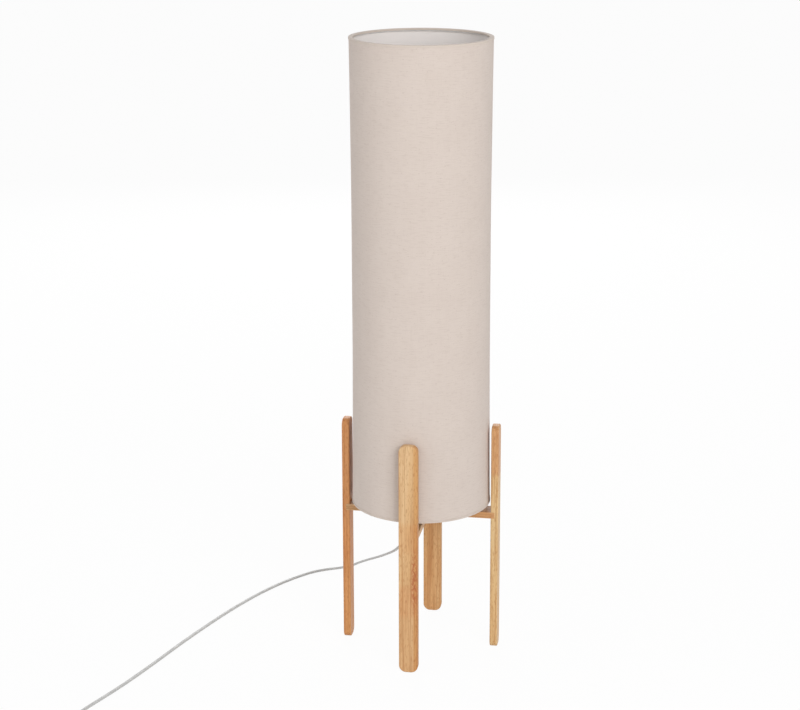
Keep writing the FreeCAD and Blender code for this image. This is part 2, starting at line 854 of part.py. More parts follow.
def make_cord_grip():
    """The nylon cap under the nipple, whose sloping face sends the cord out to one side."""
    bore = d.nipple_diameter / 2 + d.thread_clearance
    cap = revolved("grip_cap", (
        (0.0, grip_bottom),
        (d.grip_radius, grip_bottom),
        (d.grip_radius, grip_top),
        (bore, grip_top),
        (bore, d.nipple_bottom),
        (0.0, d.nipple_bottom),
    ))
    side = d.grip_radius * 4.0
    wedge = doc.addObject("Part::Box", "grip_wedge")
    bind(wedge, Length=side, Width=side, Height=side)
    ahead = outlet_direction()
    turn = FreeCAD.Rotation(UP, ahead)
    corner = turn.multVec(V(-side.value / 2, -side.value / 2, 0))
    wedge.Placement = FreeCAD.Placement(outlet_seat() + corner, turn)
    passage = doc.addObject("Part::Cylinder", "grip_passage")
    bind(passage, Radius=d.cord_width / 2 + 0.4, Height=d.grip_height)
    passage.Placement = FreeCAD.Placement(V(0, 0, d.nipple_bottom.value), turn)
    return cut("cord_grip", cap, joined("grip_openings", "Part::MultiFuse", [wedge, passage]))


def make_relief(name, tip, ahead):
    """A tapered strain relief from its narrow tip, growing wider along ahead."""
    piece = doc.addObject("Part::Cone", name)
    piece.Label = name
    bind(piece, Radius1=d.relief_tip, Radius2=d.relief_base, Height=d.relief_length)
    piece.Placement = FreeCAD.Placement(tip, FreeCAD.Rotation(UP, ahead))
    return piece


# ---------------------------------------------------------------- foot switch


def switch_frame():
    return FreeCAD.Placement(
        V(d.switch_x.value, d.switch_y.value, 0), FreeCAD.Rotation(UP, d.switch_turn.value)
    )


def plan_outline(length, width, radius):
    half_length, half_width = length / 2, width / 2
    points = (
        (-half_length, -half_width + radius),
        (-half_length + radius, -half_width),
        (half_length - radius, -half_width),
        (half_length, -half_width + radius),
        (half_length, half_width - radius),
        (half_length - radius, half_width),
        (-half_length + radius, half_width),
        (-half_length, half_width - radius),
    )
    return points, {index: (radius, 1) for index in (0, 2, 4, 6)}


def make_switch():
    """The foot switch: two half shells, a round push button, a spring, contacts and screws."""
    frame = switch_frame()
    points, arcs = plan_outline(d.switch_length, d.switch_width, d.switch_round)
    zero = Size(0.0, "0.0")
    inner_length = d.switch_length - d.switch_wall * 2.0
    inner_width = d.switch_width - d.switch_wall * 2.0
    base = new_body("switch_base")
    padded(base, "switch_base_pad", "XY_Plane", points, d.switch_split, arcs, zero)
    cut_box(base, "switch_base_room", inner_length - 14.0, inner_width, d.switch_split,
            (-inner_length / 2 + 7.0, -inner_width / 2, d.switch_wall))
    cover = new_body("switch_cover")
    rise = d.switch_height - d.switch_split
    shell = padded(cover, "switch_cover_pad", "XY_Plane", points, rise, arcs, d.switch_split)
    doc.recompute()
    rims = [
        "Edge%d" % (index + 1)
        for index, edge in enumerate(shell.Shape.Edges)
        if all(abs(v.Z - d.switch_height.value) < 1e-4 for v in edge.Vertexes)
    ]
    crown = cover.newObject("PartDesign::Fillet", "switch_crown")
    crown.Base = (shell, rims)
    crown.Radius = 4.0
    cut_box(cover, "switch_cover_room", inner_length - 14.0, inner_width, rise - d.switch_wall,
            (-inner_length / 2 + 7.0, -inner_width / 2, d.switch_split))
    cut_hole(cover, "button_hole", d.button_radius, d.switch_height, (0.0, 0.0, d.switch_split))
    radius = d.button_radius - d.button_fit
    seat = d.switch_height - d.switch_wall - d.button_flange
    top = d.switch_height + d.button_proud
    button = revolved("switch_button", (
        (0.0, seat),
        (radius + 1.4, seat),
        (radius + 1.4, seat + d.button_flange),
        (radius, seat + d.button_flange),
        (radius, top - 1.5),
        (radius - 1.5, top),
        (0.0, top),
    ), {4: (Size(1.5, "1.5"), 1)})
    height = seat - d.switch_wall
    spring = make_spring(d.switch_wall, height)
    strips = [
        box("contact_strip_%d" % (end + 1), Size(8.0, "8.0"), Size(5.0, "5.0"), d.strip_thickness,
            (-4.0, 8.5 * end - 2.5, d.switch_wall))
        for end in (1, -1)
    ]
    contacts = joined("switch_contacts", "Part::Compound", strips)
    screws = []
    for end in (1, -1):
        at = d.switch_screw_offset * end
        name = "switch_screw_%d" % (end + 1)
        cut_hole(base, name + "_sink", d.switch_screw_head, Size(2.0, "2.0"), (at, 0.0, 0.0))
        cut_hole(base, name + "_hole", d.switch_screw_shank, d.switch_split, (at, 0.0, 0.0))
        cut_hole(cover, name + "_pilot", d.switch_screw_shank, Size(7.0, "7.0"), (at, 0.0, d.switch_split))
        head = cylinder(name + "_head", d.switch_screw_head, Size(1.6, "1.6"), (at, 0.0, 0.4))
        shank = cylinder(name + "_shank", d.switch_screw_shank, d.switch_split + 5.0, (at, 0.0, 2.0))
        screws.append(joined(name, "Part::MultiFuse", [head, shank]))
    screw_set = joined("switch_screws", "Part::Compound", screws)
    for piece in (base, cover, button, spring, contacts, screw_set):
        piece.Placement = frame.multiply(piece.Placement)
    return [base, cover, button, spring, contacts, screw_set]


def make_spring(low, height):
    """The button's coil spring, of half-turn arcs that climb evenly."""
    radius = d.spring_radius.value
    wire = d.spring_wire.value
    halves = int(d.spring_turns.value * 2)
    climb = (height.value - wire - 0.2) / halves
    base = low.value + wire / 2 + 0.1
    edges = []
    for index in range(halves):
        side = 1 if index % 2 == 0 else -1
        start = V(-radius * side, 0, base + climb * index)
        end = V(radius * side, 0, base + climb * (index + 1))
        reach = (end - start).Length / 2
        edges.append(Part.Arc(start, (start + end) * 0.5 + V(0, -reach * side, 0), end).toShape())
    path = Part.Wire(edges)
    start = edges[0].valueAt(edges[0].FirstParameter)
    profile = Part.Wire([Part.Circle(start, V(0, -1, 0), wire / 2).toShape()])
    spring = doc.addObject("Part::Feature", "switch_spring")
    spring.Label = "switch_spring"
    spring.Shape = path.makePipeShell([profile], True, False)
    return spring


# ---------------------------------------------------------------- plug


def plug_frame():
    """The plug's frame: its origin where the cord enters the relief, +X towards the pins."""
    end = lead_end()
    return FreeCAD.Placement(end, FreeCAD.Rotation(UP, 90.0))


def make_plug():
    """A flat two-pin plug: body, pins, pin sleeves."""
    frame = plug_frame()
    start = d.relief_length
    nose = start + d.plug_length
    body = new_body("plug_body")
    half_width, half_nose = d.plug_width / 2, d.plug_nose / 2
    points = (
        (start, -half_width + 6.0),
        (start + 6.0, -half_width),
        (nose - 14.0, -half_width),
        (nose - 6.0, -half_nose),
        (nose, -half_nose),
        (nose, half_nose),
        (nose - 6.0, half_nose),
        (nose - 14.0, half_width),
        (start + 6.0, half_width),
        (start, half_width - 6.0),
    )
    pad = padded(body, "plug_pad", "XY_Plane", points, d.plug_height, None, -d.plug_height / 2)
    doc.recompute()
    levels = (d.plug_height.value / 2, -d.plug_height.value / 2)
    rims = [
        "Edge%d" % (index + 1)
        for index, edge in enumerate(pad.Shape.Edges)
        if any(all(abs(v.Z - level) < 1e-4 for v in edge.Vertexes) for level in levels)
    ]
    ease = body.newObject("PartDesign::Fillet", "plug_ease")
    ease.Base = (pad, rims)
    ease.Radius = 2.5
    ahead = V(1, 0, 0)
    pins, sleeves = [], []
    for end in (1, -1):
        at = d.pin_spacing / 2 * end
        radius = d.pin_diameter / 2
        tag = "_%d" % (end + 1)
        root, face = (nose - d.pin_root, at, 0.0), (nose, at, 0.0)
        thin = radius - d.pin_sleeve_wall
        cut_hole(body, "pin_seat" + tag, d.pin_root_diameter / 2, d.pin_root, root, ahead)
        buried = cylinder("pin_root" + tag, d.pin_root_diameter / 2, d.pin_root, root, ahead)
        bare = cylinder("pin_bare" + tag, radius, d.pin_length, face, ahead)
        pin = joined("pin" + tag, "Part::MultiFuse", [buried, bare])
        waist = cylinder("pin_waist" + tag, radius + 1.0, d.pin_sleeve, face, ahead)
        core = cylinder("pin_core" + tag, thin, d.pin_sleeve, face, ahead)
        groove = cut("pin_groove" + tag, waist, core)
        pins.append(cut("pin_turned" + tag, pin, groove))
        skin = cylinder("sleeve_skin" + tag, radius, d.pin_sleeve, face, ahead)
        bore = cylinder("sleeve_bore" + tag, thin, d.pin_sleeve, face, ahead)
        sleeves.append(cut("sleeve" + tag, skin, bore))
    pin_set = joined("plug_pins", "Part::Compound", pins)
    sleeve_set = joined("plug_pin_sleeves", "Part::Compound", sleeves)
    for piece in (body, pin_set, sleeve_set):
        piece.Placement = frame
    return [body, pin_set, sleeve_set]


# ---------------------------------------------------------------- cord


def rounded_path(points, label):
    """Straight runs joined by tangent arcs through the route's points; prints the radii."""
    edges = []
    radii = []
    at = points[0]
    for before, corner, after in zip(points, points[1:], points[2:]):
        back, ahead = before - corner, after - corner
        turn = math.pi - back.getAngle(ahead)
        trim = 0.45 * min(back.Length, ahead.Length)
        radii.append(trim / math.tan(turn / 2))
        back.normalize()
        ahead.normalize()
        start, end = corner + back * trim, corner + ahead * trim
        inward = (back + ahead).normalize()
        middle = (start + end) * 0.5
        sag = (start - end).Length / 2 * math.tan(turn / 4)
        middle = middle - inward * sag
        edges.append(Part.LineSegment(at, start).toShape())
        edges.append(Part.Arc(start, middle, end).toShape())
        at = end
    edges.append(Part.LineSegment(at, points[-1]).toShape())
    print(label, "radii", " ".join("%.0f" % radius for radius in radii))
    return edges


def oval(centre, tangent, wide):
    """The flat cord's section: two half circles joined by straight sides."""
    half = d.cord_thickness.value / 2
    side = wide.normalize() * (d.cord_width.value / 2 - half)
    thin = tangent.cross(side).normalize() * half
    a, b = centre + side + thin, centre - side + thin
    c, e = centre - side - thin, centre + side - thin
    tips = centre - side - side * (half / side.Length), centre + side + side * (half / side.Length)
    return Part.Wire([
        Part.LineSegment(a, b).toShape(),
        Part.Arc(b, tips[0], c).toShape(),
        Part.LineSegment(c, e).toShape(),
        Part.Arc(e, tips[1], a).toShape(),
    ])


def turned_back(edge):
    """The same line or arc, drawn from its other end."""
    first, last = edge.FirstParameter, edge.LastParameter
    start, middle, end = (edge.valueAt(spot) for spot in (first, (first + last) / 2, last))
    if edge.Curve.TypeId == "Part::GeomLine":
        return Part.LineSegment(end, start).toShape()
    return Part.Arc(end, middle, start).toShape()


def swept(edges, wide, steady=None):
    """A solid of the cord's section along the edges; steady keeps one direction of the section."""
    path = Part.Wire(edges)
    first = edges[0]
    start = first.valueAt(first.FirstParameter)
    tangent = first.tangentAt(first.FirstParameter)
    profile = oval(start, tangent, V(wide))
    if steady is None:
        solid = path.makePipeShell([profile], True, False)
    else:
        shell = Part.BRepOffsetAPI.MakePipeShell(path)
        shell.setBiNormalMode(steady)
        shell.add(profile)
        shell.build()
        shell.makeSolid()
        solid = shell.shape()
    section = Part.Face(profile).Area
    print("volume over section times length %.4f" % (solid.Volume / (section * path.Length)),
          "length %.1f" % path.Length, "valid", solid.isValid(), "low %.2f" % solid.BoundBox.ZMin)
    return solid


def switch_point(along):
    """A point on the switch's axis, at the height where the cord enters it."""
    return switch_frame().multVec(V(along, 0, d.switch_entry.value))


def run_route():
    reach = d.switch_length.value / 2 + d.relief_length.value
    points = [cord_exit()] + [V(*p) for p in RUN_POINTS]
    return points + [switch_point(-reach)]


def lead_start():
    return switch_point(d.switch_length.value / 2 + d.relief_length.value)


def lead_end():
    """Where the cord enters the plug's relief, straight on from the coil's outer turn."""
    return V(d.coil_x.value + d.coil_radius.value, d.coil_y.value + d.coil_to_plug.value, d.plug_axis.value)


def coil_edges():
    """Half-turn arcs that spiral in on the floor, climb one layer and spiral out."""
    halves = int(d.coil_half_turns.value)
    step = d.coil_pitch.value / 2
    radii = [d.coil_radius.value - step * k for k in range(halves)]
    inner = radii[-1] - step
    order = [(r, 0.0) for r in radii] + [(inner, d.coil_rise.value)] + [(r, 0.0) for r in radii[:0:-1]]
    at = V(d.coil_x.value, d.coil_y.value - d.coil_radius.value, d.entry_height.value)
    side = 1
    edges = []
    for radius, rise in order:
        end = at + V(0, 2 * radius * side, rise)
        reach = (end - at).Length / 2
        edges.append(Part.Arc(at, (at + end) * 0.5 + V(reach * side, 0, 0), end).toShape())
        at = end
        side = -side
    centre = at + V(0, d.coil_radius.value, 0)
    quarter = d.coil_radius.value * math.sqrt(0.5)
    east = centre + V(d.coil_radius.value, 0, 0)
    edges.append(Part.Arc(at, centre + V(quarter, -quarter, 0), east).toShape())
    return edges, east


def least_gap(edges):
    """The least clear distance between parts of the coil that aren't next to each other."""
    spots = []
    along = 0.0
    for edge in edges:
        count = max(int(edge.Length / 3.0), 2)
        for index in range(count):
            share = index / count
            spot = edge.valueAt(edge.FirstParameter + (edge.LastParameter - edge.FirstParameter) * share)
            spots.append((along + edge.Length * share, spot))
        along += edge.Length
    least = 1e9
    for index, (first, a) in enumerate(spots):
        for second, b in spots[index + 1:]:
            if second - first < 25.0:
                continue
            flat = math.hypot(a.x - b.x, a.y - b.y) - d.cord_thickness.value
            tall = abs(a.z - b.z) - d.cord_width.value
            least = min(least, max(flat, tall))
    return least


def make_cords():
    """The cord from the lamp to the switch, and from the switch through its coil to the plug."""
    route = run_route()
    edges = rounded_path(route, "run")
    run = doc.addObject("Part::Feature", "cord_run")
    run.Label = "cord_run"
    lowest = min(point.z for point in route)
    landing = 2 * [point.z for point in route].index(lowest) + 1
    falling = [turned_back(edge) for edge in reversed(edges[:landing])]
    lying = edges[landing:]
    level = UP.cross(lying[0].tangentAt(lying[0].FirstParameter))
    run.Shape = swept(falling, level).fuse(swept(lying, level, UP)).removeSplitter()
    coil, east = coil_edges()
    print("coil least gap %.2f mm" % least_gap(coil))
    start = [lead_start()] + [V(*p) for p in LEAD_POINTS]
    entry = rounded_path(start + [coil[0].valueAt(coil[0].FirstParameter)], "lead")
    end = lead_end()
    third = (end.y - east.y) / 3
    tail = [east, V(east.x, east.y + third, east.z), V(end.x, end.y - 0.8 * third, end.z), end]
    leave = rounded_path(tail, "tail")
    pieces = [run]
    for name, edges in (("cord_lead", entry), ("cord_coil", coil), ("cord_tail", leave)):
        piece = doc.addObject("Part::Feature", name)
        piece.Label = name
        piece.Shape = swept(edges, UP, UP)
        pieces.append(piece)
    return pieces


def make_tie():
    """A hook-and-loop band round the coil's west side, standing on the floor."""
    step = d.coil_pitch.value / 2
    last = d.coil_radius.value - step * (int(d.coil_half_turns.value) - 1)
    west_outer = -(d.coil_radius.value - step) - d.cord_thickness.value / 2
    bow = (d.tie_width.value / 2 + step) ** 2 / (2 * last)
    west_inner = -last + d.cord_thickness.value / 2 + bow
    low = d.entry_height.value - d.cord_width.value / 2
    high = second_layer.value + d.cord_width.value / 2
    gap, wall = d.tie_gap.value, d.tie_thickness.value
    inner = box("tie_room", Size(1.0, "1.0"), d.tie_width + 4.0, Size(1.0, "1.0"), (0.0, 0.0, 0.0))
    outer = box("tie_band", Size(1.0, "1.0"), d.tie_width, Size(1.0, "1.0"), (0.0, 0.0, 0.0))
    for piece, grow, extra in ((inner, gap, 4.0), (outer, gap + wall, 0.0)):
        piece.setExpression("Length", None)
        piece.setExpression("Height", None)
        piece.Length = west_inner - west_outer + 2 * grow
        piece.Height = high - low + 2 * grow
        south = d.coil_y.value - (d.tie_width.value + extra) / 2
        corner = V(d.coil_x.value + west_outer - grow, south, low - grow)
        piece.Placement = FreeCAD.Placement(corner, FreeCAD.Rotation())
    return cut("coil_tie", outer, inner)


# ---------------------------------------------------------------- assembly


def build():
    nodes = [make_leg(side, turn) for side, turn in LEG_TURNS.items()]
    middle = d.bar_top - d.bar_thickness / 2
    nodes.append(make_bar("cross_bar_lower", middle, 90.0))
    nodes.append(make_bar("cross_bar_upper", bar_bottom, 0.0))
    nodes.append(make_dowels())
    nodes.append(waisted_tube("shade_fabric", d.shade_radius, d.fabric_thickness, shade_bottom, shade_top))
    nodes.append(waisted_tube("shade_liner", liner_radius, d.liner_thickness, shade_bottom, shade_top))
    nodes.append(make_seam())
    nodes.append(make_ring("shade_top_ring", shade_top - d.ring_wire / 2))
    nodes.append(make_ring("shade_bottom_ring", shade_bottom + d.ring_wire / 2))
    nodes.append(make_hem("shade_top_hem", shade_top, -1.0))
    nodes.append(make_bottom_hem())
    nodes.append(make_spider())
    nodes.append(make_plate())
    nodes.append(make_plate_screws())
    nodes.append(revolved("threaded_nipple", ring_profile(
        d.nipple_bore / 2, d.nipple_diameter / 2, d.nipple_bottom, d.nipple_top)))
    nodes.append(make_hex_nut("nipple_nut", plate_top + 5.0))
    nodes.append(revolved("nipple_washer", ring_profile(
        d.nipple_diameter / 2 + d.thread_clearance, d.washer_radius, grip_top, bar_bottom)))
    nodes.append(make_holder_base())
    nodes.append(make_holder_shell())
    nodes.append(make_clamp_ring())
    nodes.append(make_insert())
    nodes.append(make_sleeve())
    nodes.append(make_centre_contact())
    nodes.append(make_terminals())
    nodes.append(make_terminal_screws())
    nodes += make_bulb()
    nodes.append(make_cord_grip())
    nodes.append(make_relief("lamp_strain_relief", cord_exit(), -outlet_direction()))
    nodes += make_switch()
    heading = switch_frame().Rotation.multVec(V(1, 0, 0))
    inlet, outlet = run_route()[-1], lead_start()
    nodes.append(make_relief("switch_inlet_relief", inlet, heading))
    nodes.append(make_relief("switch_outlet_relief", outlet, -heading))
    nodes += make_plug()
    nodes.append(make_relief("plug_strain_relief", lead_end(), V(0, 1, 0)))
    nodes += make_cords()
    nodes.append(make_tie())
    return nodes


nodes = build()
doc.recompute()
os.makedirs("parts", exist_ok=True)
for entry in doc.Objects:
    if "Invalid" in entry.State or "Error" in entry.State:
        raise RuntimeError("%s did not build: %s" % (entry.Name, entry.State))
for node in nodes:
    if node.Shape.isNull() or not node.Shape.isValid():
        raise RuntimeError("bad shape in %s" % node.Label)
    node.Shape.exportStep("parts/%s.step" % node.Label)
print(len(nodes), "nodes written")
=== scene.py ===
"""Column floor lamp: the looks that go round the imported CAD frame.

A tall drum of slubbed fabric stands on a half-lapped wooden cross between four flat legs with
round ends. A flat flex falls from under the cross and runs off over the floor to a foot switch,
and its spare length is wound into a tied coil beside the plug.
"""

import logging
import math
from dataclasses import dataclass
from enum import Enum

import bmesh
import bpy
from mathutils import Matrix, Vector, noise


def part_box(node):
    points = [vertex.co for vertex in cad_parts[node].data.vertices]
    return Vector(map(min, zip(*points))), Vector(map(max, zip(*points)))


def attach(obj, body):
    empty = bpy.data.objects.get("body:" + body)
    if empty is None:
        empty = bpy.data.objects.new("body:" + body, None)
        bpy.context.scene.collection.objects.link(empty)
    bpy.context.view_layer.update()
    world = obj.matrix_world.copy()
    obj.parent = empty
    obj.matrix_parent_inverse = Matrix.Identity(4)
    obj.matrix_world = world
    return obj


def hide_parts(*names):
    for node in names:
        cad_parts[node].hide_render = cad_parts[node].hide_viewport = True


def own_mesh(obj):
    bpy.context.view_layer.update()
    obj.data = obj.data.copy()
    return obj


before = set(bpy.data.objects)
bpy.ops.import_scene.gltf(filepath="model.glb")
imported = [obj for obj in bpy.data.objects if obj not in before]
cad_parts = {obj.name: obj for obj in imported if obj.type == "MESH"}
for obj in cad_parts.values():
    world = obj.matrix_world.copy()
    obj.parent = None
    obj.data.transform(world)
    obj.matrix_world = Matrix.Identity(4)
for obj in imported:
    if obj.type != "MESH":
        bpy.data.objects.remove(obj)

LOG = logging.getLogger("column_floor_lamp")
MM = 0.001
TURN = 2.0 * math.pi
UP = Vector((0.0, 0.0, 1.0))
WHITE = (1.0, 1.0, 1.0)
CREASE = math.radians(38.0)  # Edges that turn by more than this are shaded sharp.

Colour = tuple[float, float, float]
Point = tuple[float, float, float]
Point2 = tuple[float, float]
Socket = bpy.types.NodeSocket


class Grain(Enum):
    """The direction in which a board's grain runs, as the turn that lays it along local Z."""

    UPRIGHT = (0.0, 0.0, 0.0)
    ACROSS = (0.0, math.pi / 2, 0.0)
    DEEP = (math.pi / 2, 0.0, 0.0)


class Weave(Enum):
    """What a cloth's surface shows, as (thread pitch, relief) in metres."""

    DRUM = (0.62 * MM, 0.10 * MM)
    TAPE = (0.45 * MM, 0.05 * MM)


# ---------------------------------------------------------------- material graphs


@dataclass(frozen=True)
class Pattern:
    """A noise pattern: its cells per metre on each axis, and how fine, rough and bent it is."""

    scale: Point
    detail: float = 2.0
    rough: float = 0.5
    warp: float = 0.0


class Graph:
    """The shader nodes of one material or world, added a step at a time."""

    def __init__(self, name: str, world: bool = False) -> None:
        """Starts an empty graph.

        Args:
            name: The name of its material or world.
            world: Whether it makes a world.
        """
        blocks = bpy.data.worlds if world else bpy.data.materials
        self.owner = blocks.new(name)
        self.owner.use_nodes = True
        self.tree = self.owner.node_tree
        self.tree.nodes.clear()

    def add(self, kind: str, inputs: dict | None = None, **settings: object) -> bpy.types.Node:
        """Adds a node.

        Args:
            kind: Blender's name of the node type.
            inputs: Values or output sockets for the node's inputs, by name or number.
            **settings: The node's own properties.

        Returns:
            The new node.
        """
        node = self.tree.nodes.new(kind)
        for name, value in settings.items():
            setattr(node, name, value)
        for socket, value in (inputs or {}).items():
            if isinstance(value, Socket):
                self.tree.links.new(value, node.inputs[socket])
            else:
                node.inputs[socket].default_value = value
        return node

    def solid(self) -> Socket:
        """The piece's object coordinates, in metres."""
        return self.add("ShaderNodeTexCoord").outputs["Object"]

    def surface(self) -> Socket:
        """The piece's flattened coordinates, in metres along and across it."""
        return self.add("ShaderNodeUVMap", uv_map="UVMap").outputs[0]

    def scaled(self, where: Socket, scale: Point) -> Socket:
        """Coordinates stretched on each axis."""
        return self.add("ShaderNodeMapping", {"Vector": where, "Scale": scale}).outputs[0]

    def axes(self, where: Socket) -> bpy.types.bpy_prop_collection:
        """Coordinates split into their three numbers."""
        return self.add("ShaderNodeSeparateXYZ", {0: where}).outputs

    def speckle(self, where: Socket, pattern: Pattern) -> Socket:
        """A noise pattern at its real size.

        Args:
            where: The coordinates, in metres.
            pattern: The pattern.

        Returns:
            Its value.
        """
        inputs = {"Vector": self.scaled(where, pattern.scale), "Scale": 1.0, "Detail": pattern.detail,
                  "Roughness": pattern.rough, "Distortion": pattern.warp}
        return self.add("ShaderNodeTexNoise", inputs).outputs[0]

    def calc(self, operation: str, first: object, second: object = 0.0, clamp: bool = False) -> Socket:
        """One sum of two numbers or sockets, kept within 0 to 1 with clamp."""
        inputs = {0: first, 1: second}
        return self.add("ShaderNodeMath", inputs, operation=operation, use_clamp=clamp).outputs[0]

    def spread(self, value: Socket, low: float, high: float, out_low: float = 0.0,
               out_high: float = 1.0) -> Socket:
        """Smoothly maps a value's range from low to high onto that from out_low to out_high."""
        inputs = {"Value": value, "From Min": low, "From Max": high, "To Min": out_low,
                  "To Max": out_high}
        return self.add("ShaderNodeMapRange", inputs, interpolation_type="SMOOTHSTEP").outputs[0]

    def tint(self, factor: object, first: object, second: object, mode: str = "MIX") -> Socket:
        """Mixes two colours.

        Args:
            factor: The share of the second.
            first: A colour or a socket.
            second: A colour or a socket.
            mode: Blender's blend mode.

        Returns:
            The mixed colour.
        """
        node = self.add("ShaderNodeMix", data_type="RGBA", blend_type=mode)
        for index, value in ((0, factor), (6, first), (7, second)):
            if isinstance(value, Socket):
                self.tree.links.new(value, node.inputs[index])
            else:
                node.inputs[index].default_value = (*value, 1.0) if index else value
        return node.outputs[2]

    def stain(self, colour: object, stain: Colour,
              *layers: tuple[Socket, float, float, float]) -> object:
        """Lays a second colour over a first, once through each pattern.

        Args:
            colour: The first colour, written or from a socket.
            stain: The second.
            *layers: A pattern's value, where it starts to show and is full, and its greatest share.

        Returns:
            The stained colour.
        """
        for value, low, high, share in layers:
            colour = self.tint(self.spread(value, low, high, 0.0, share), colour, stain)
        return colour

    def bump(self, height: Socket, depth: float, strength: float,
             base: Socket | None = None) -> Socket:
        """Relief from a pattern.

        Args:
            height: The pattern's value.
            depth: How high it stands, in metres.
            strength: The share of the relief that shows.
            base: Relief that lies under it.

        Returns:
            The normal.
        """
        inputs: dict = {"Height": height, "Distance": depth, "Strength": strength}
        if base is not None:
            inputs["Normal"] = base
        return self.add("ShaderNodeBump", inputs).outputs[0]

    def close(self, colour: object, roughness: object, normal: Socket | None = None,
              **constants: object) -> bpy.types.Material:
        """Ends the graph in a Principled shader.

        Args:
            colour: The base colour, written or from a socket.
            roughness: A number or a socket.
            normal: The relief.
            **constants: Other inputs, with underscores for the spaces in their names.

        Returns:
            The finished material.
        """
        inputs: dict = {"Roughness": roughness}
        inputs["Base Color"] = colour if isinstance(colour, Socket) else (*colour, 1.0)
        if normal is not None:
            inputs["Normal"] = normal
        inputs.update({name.replace("_", " "): value for name, value in constants.items()})
        shader = self.add("ShaderNodeBsdfPrincipled", inputs)
        self.add("ShaderNodeOutputMaterial", {"Surface": shader.outputs[0]})
        return self.owner


# ---------------------------------------------------------------- finishes


@dataclass(frozen=True)
class Board:
    """Oiled light hardwood, glued up end to end from short strips."""

    name: str
    grain: Grain
    shift: Point
    pale: Colour = (0.74, 0.480, 0.250)
    middle: Colour = (0.68, 0.400, 0.184)
    dark: Colour = (0.45, 0.190, 0.060)
    # The edge band's tint: redder wood and painted shade on the rounded edge.
    red_shade_tint: Colour = (0.88, 0.72, 0.52)
    scorch: Colour = (0.43, 0.120, 0.035)
    joints: tuple[tuple[float, Colour], ...] = ()
    flame: tuple[Point, Point] | None = None
    shaded_red_edge: float | None = None
    finger_pitch: float = 2.0 * MM
    finger_slope: float = 4.5

    # Cells per metre across, through and along the grain.
    GROWTH = Pattern((55, 55, 3.2), 3.0, 0.6, 0.6)
    STREAKS = Pattern((270, 270, 6), 2.0, 0.5, 0.4)
    LINES = Pattern((420, 420, 9), 3.0, 0.65, 0.3)
    FLECKS = Pattern((620, 620, 120), 1.0)
    PORES = Pattern((1500, 1500, 70), 2.0, 0.6)
    DASHES = Pattern((420, 420, 130), 2.0, 0.6, 0.4)
    DASH_START = (0.3, 0.1, 0.7)

    def place(self, graph: Graph, turn: Point, shift: Point) -> Socket:
        """Object coordinates, turned by radians and moved to where in the pattern the board starts."""
        inputs = {"Vector": graph.solid(), "Rotation": turn, "Location": shift}
        return graph.add("ShaderNodeMapping", inputs).outputs[0]

    def material(self) -> bpy.types.Material:
        """Builds the wood.

        Returns:
            The material, with growth rings, pores, flecks, strip tones, any flame, and any edge band of
            redder wood with painted shade.
        """
        graph = Graph(self.name)
        where = self.place(graph, self.grain.value, self.shift)
        patterns = (self.GROWTH, self.STREAKS, self.LINES, self.FLECKS, self.PORES)
        growth, streaks, lines, flecks, pores = (graph.speckle(where, each) for each in patterns)
        colour = graph.stain(self.middle, self.pale, (growth, 0.32, 0.68, 1.0))
        colour = graph.stain(colour, self.dark, (streaks, 0.46, 0.66, 0.50), (lines, 0.50, 0.68, 0.55),
                             (flecks, 0.56, 0.66, 0.50))
        if self.joints:
            colour = graph.tint(1.0, colour, self.strips(graph), "MULTIPLY")
        # Painted shade, with redder wood, in a band along one edge of the board.
        if self.shaded_red_edge is not None:
            colour = self.paint_red_shade(graph, colour)
        if self.flame is not None:
            colour = self.burn(graph, colour)
        height = graph.calc("SUBTRACT", 1.0, graph.spread(pores, 0.56, 0.72))
        relief = graph.bump(height, 0.12 * MM, 0.55)
        relief = graph.bump(lines, 0.10 * MM, 0.35, relief)
        gloss = graph.spread(lines, 0.3, 0.7, 0.44, 0.56)
        return graph.close(colour, gloss, relief, Specular_IOR_Level=0.42, Coat_Weight=0.08,
                           Coat_Roughness=0.35)

    def strips(self, graph: Graph) -> object:
        """The tone of each strip between finger joints, which run in a zigzag across the board.

        Args:
            graph: The wood's graph.

        Returns:
            The tone that multiplies the wood's colour.
        """
        parts = graph.axes(graph.solid())
        along = {Grain.UPRIGHT: parts[2], Grain.ACROSS: parts[0], Grain.DEEP: parts[1]}[self.grain]
        across = parts[1] if self.grain is Grain.ACROSS else parts[0]
        finger = graph.calc("PINGPONG", graph.calc("ADD", across, 0.5), self.finger_pitch)
        toothed = graph.calc("ADD", along, graph.calc("MULTIPLY", finger, self.finger_slope))
        tone: object = WHITE
        for height, colour in self.joints:
            tone = graph.tint(graph.calc("GREATER_THAN", toothed, height), tone, colour)
        return tone

    def paint_red_shade(self, graph: Graph, colour: Socket) -> Socket:
        """The wood's colour with a redder, darker band along the board's edge: redder wood, and painted
        shade on its rounded edge.
        """
        past = graph.spread(graph.axes(graph.solid())[0], self.shaded_red_edge, self.shaded_red_edge + 4.0 * MM)
        return graph.tint(past, colour, graph.tint(1.0, colour, self.red_shade_tint, "MULTIPLY"))

    def burn(self, graph: Graph, colour: Socket) -> Socket:
        """A reddish mineral streak, broken into dashes, inside the box that flame gives.

        Args:
            graph: The wood's graph.
            colour: The wood's colour.

        Returns:
            The colour with the streak.
        """
        low, high = self.flame
        middle = [(a + b) / 2 for a, b in zip(low, high)]
        reach = [2.0 / (b - a) for a, b in zip(low, high)]
        inside = graph.add("ShaderNodeMapping", {
            "Vector": graph.solid(), "Location": [-m * r for m, r in zip(middle, reach)], "Scale": reach,
        }).outputs[0]
        distance = graph.add("ShaderNodeVectorMath", {0: inside}, operation="LENGTH").outputs["Value"]
        near = graph.spread(distance, 0.35, 1.0, 1.0, 0.0)
        where = self.place(graph, Grain.UPRIGHT.value, self.DASH_START)
        dashes = graph.spread(graph.speckle(where, self.DASHES), 0.42, 0.56, 0.15, 0.90)
        return graph.tint(graph.calc("MULTIPLY", near, dashes), colour, self.scorch)


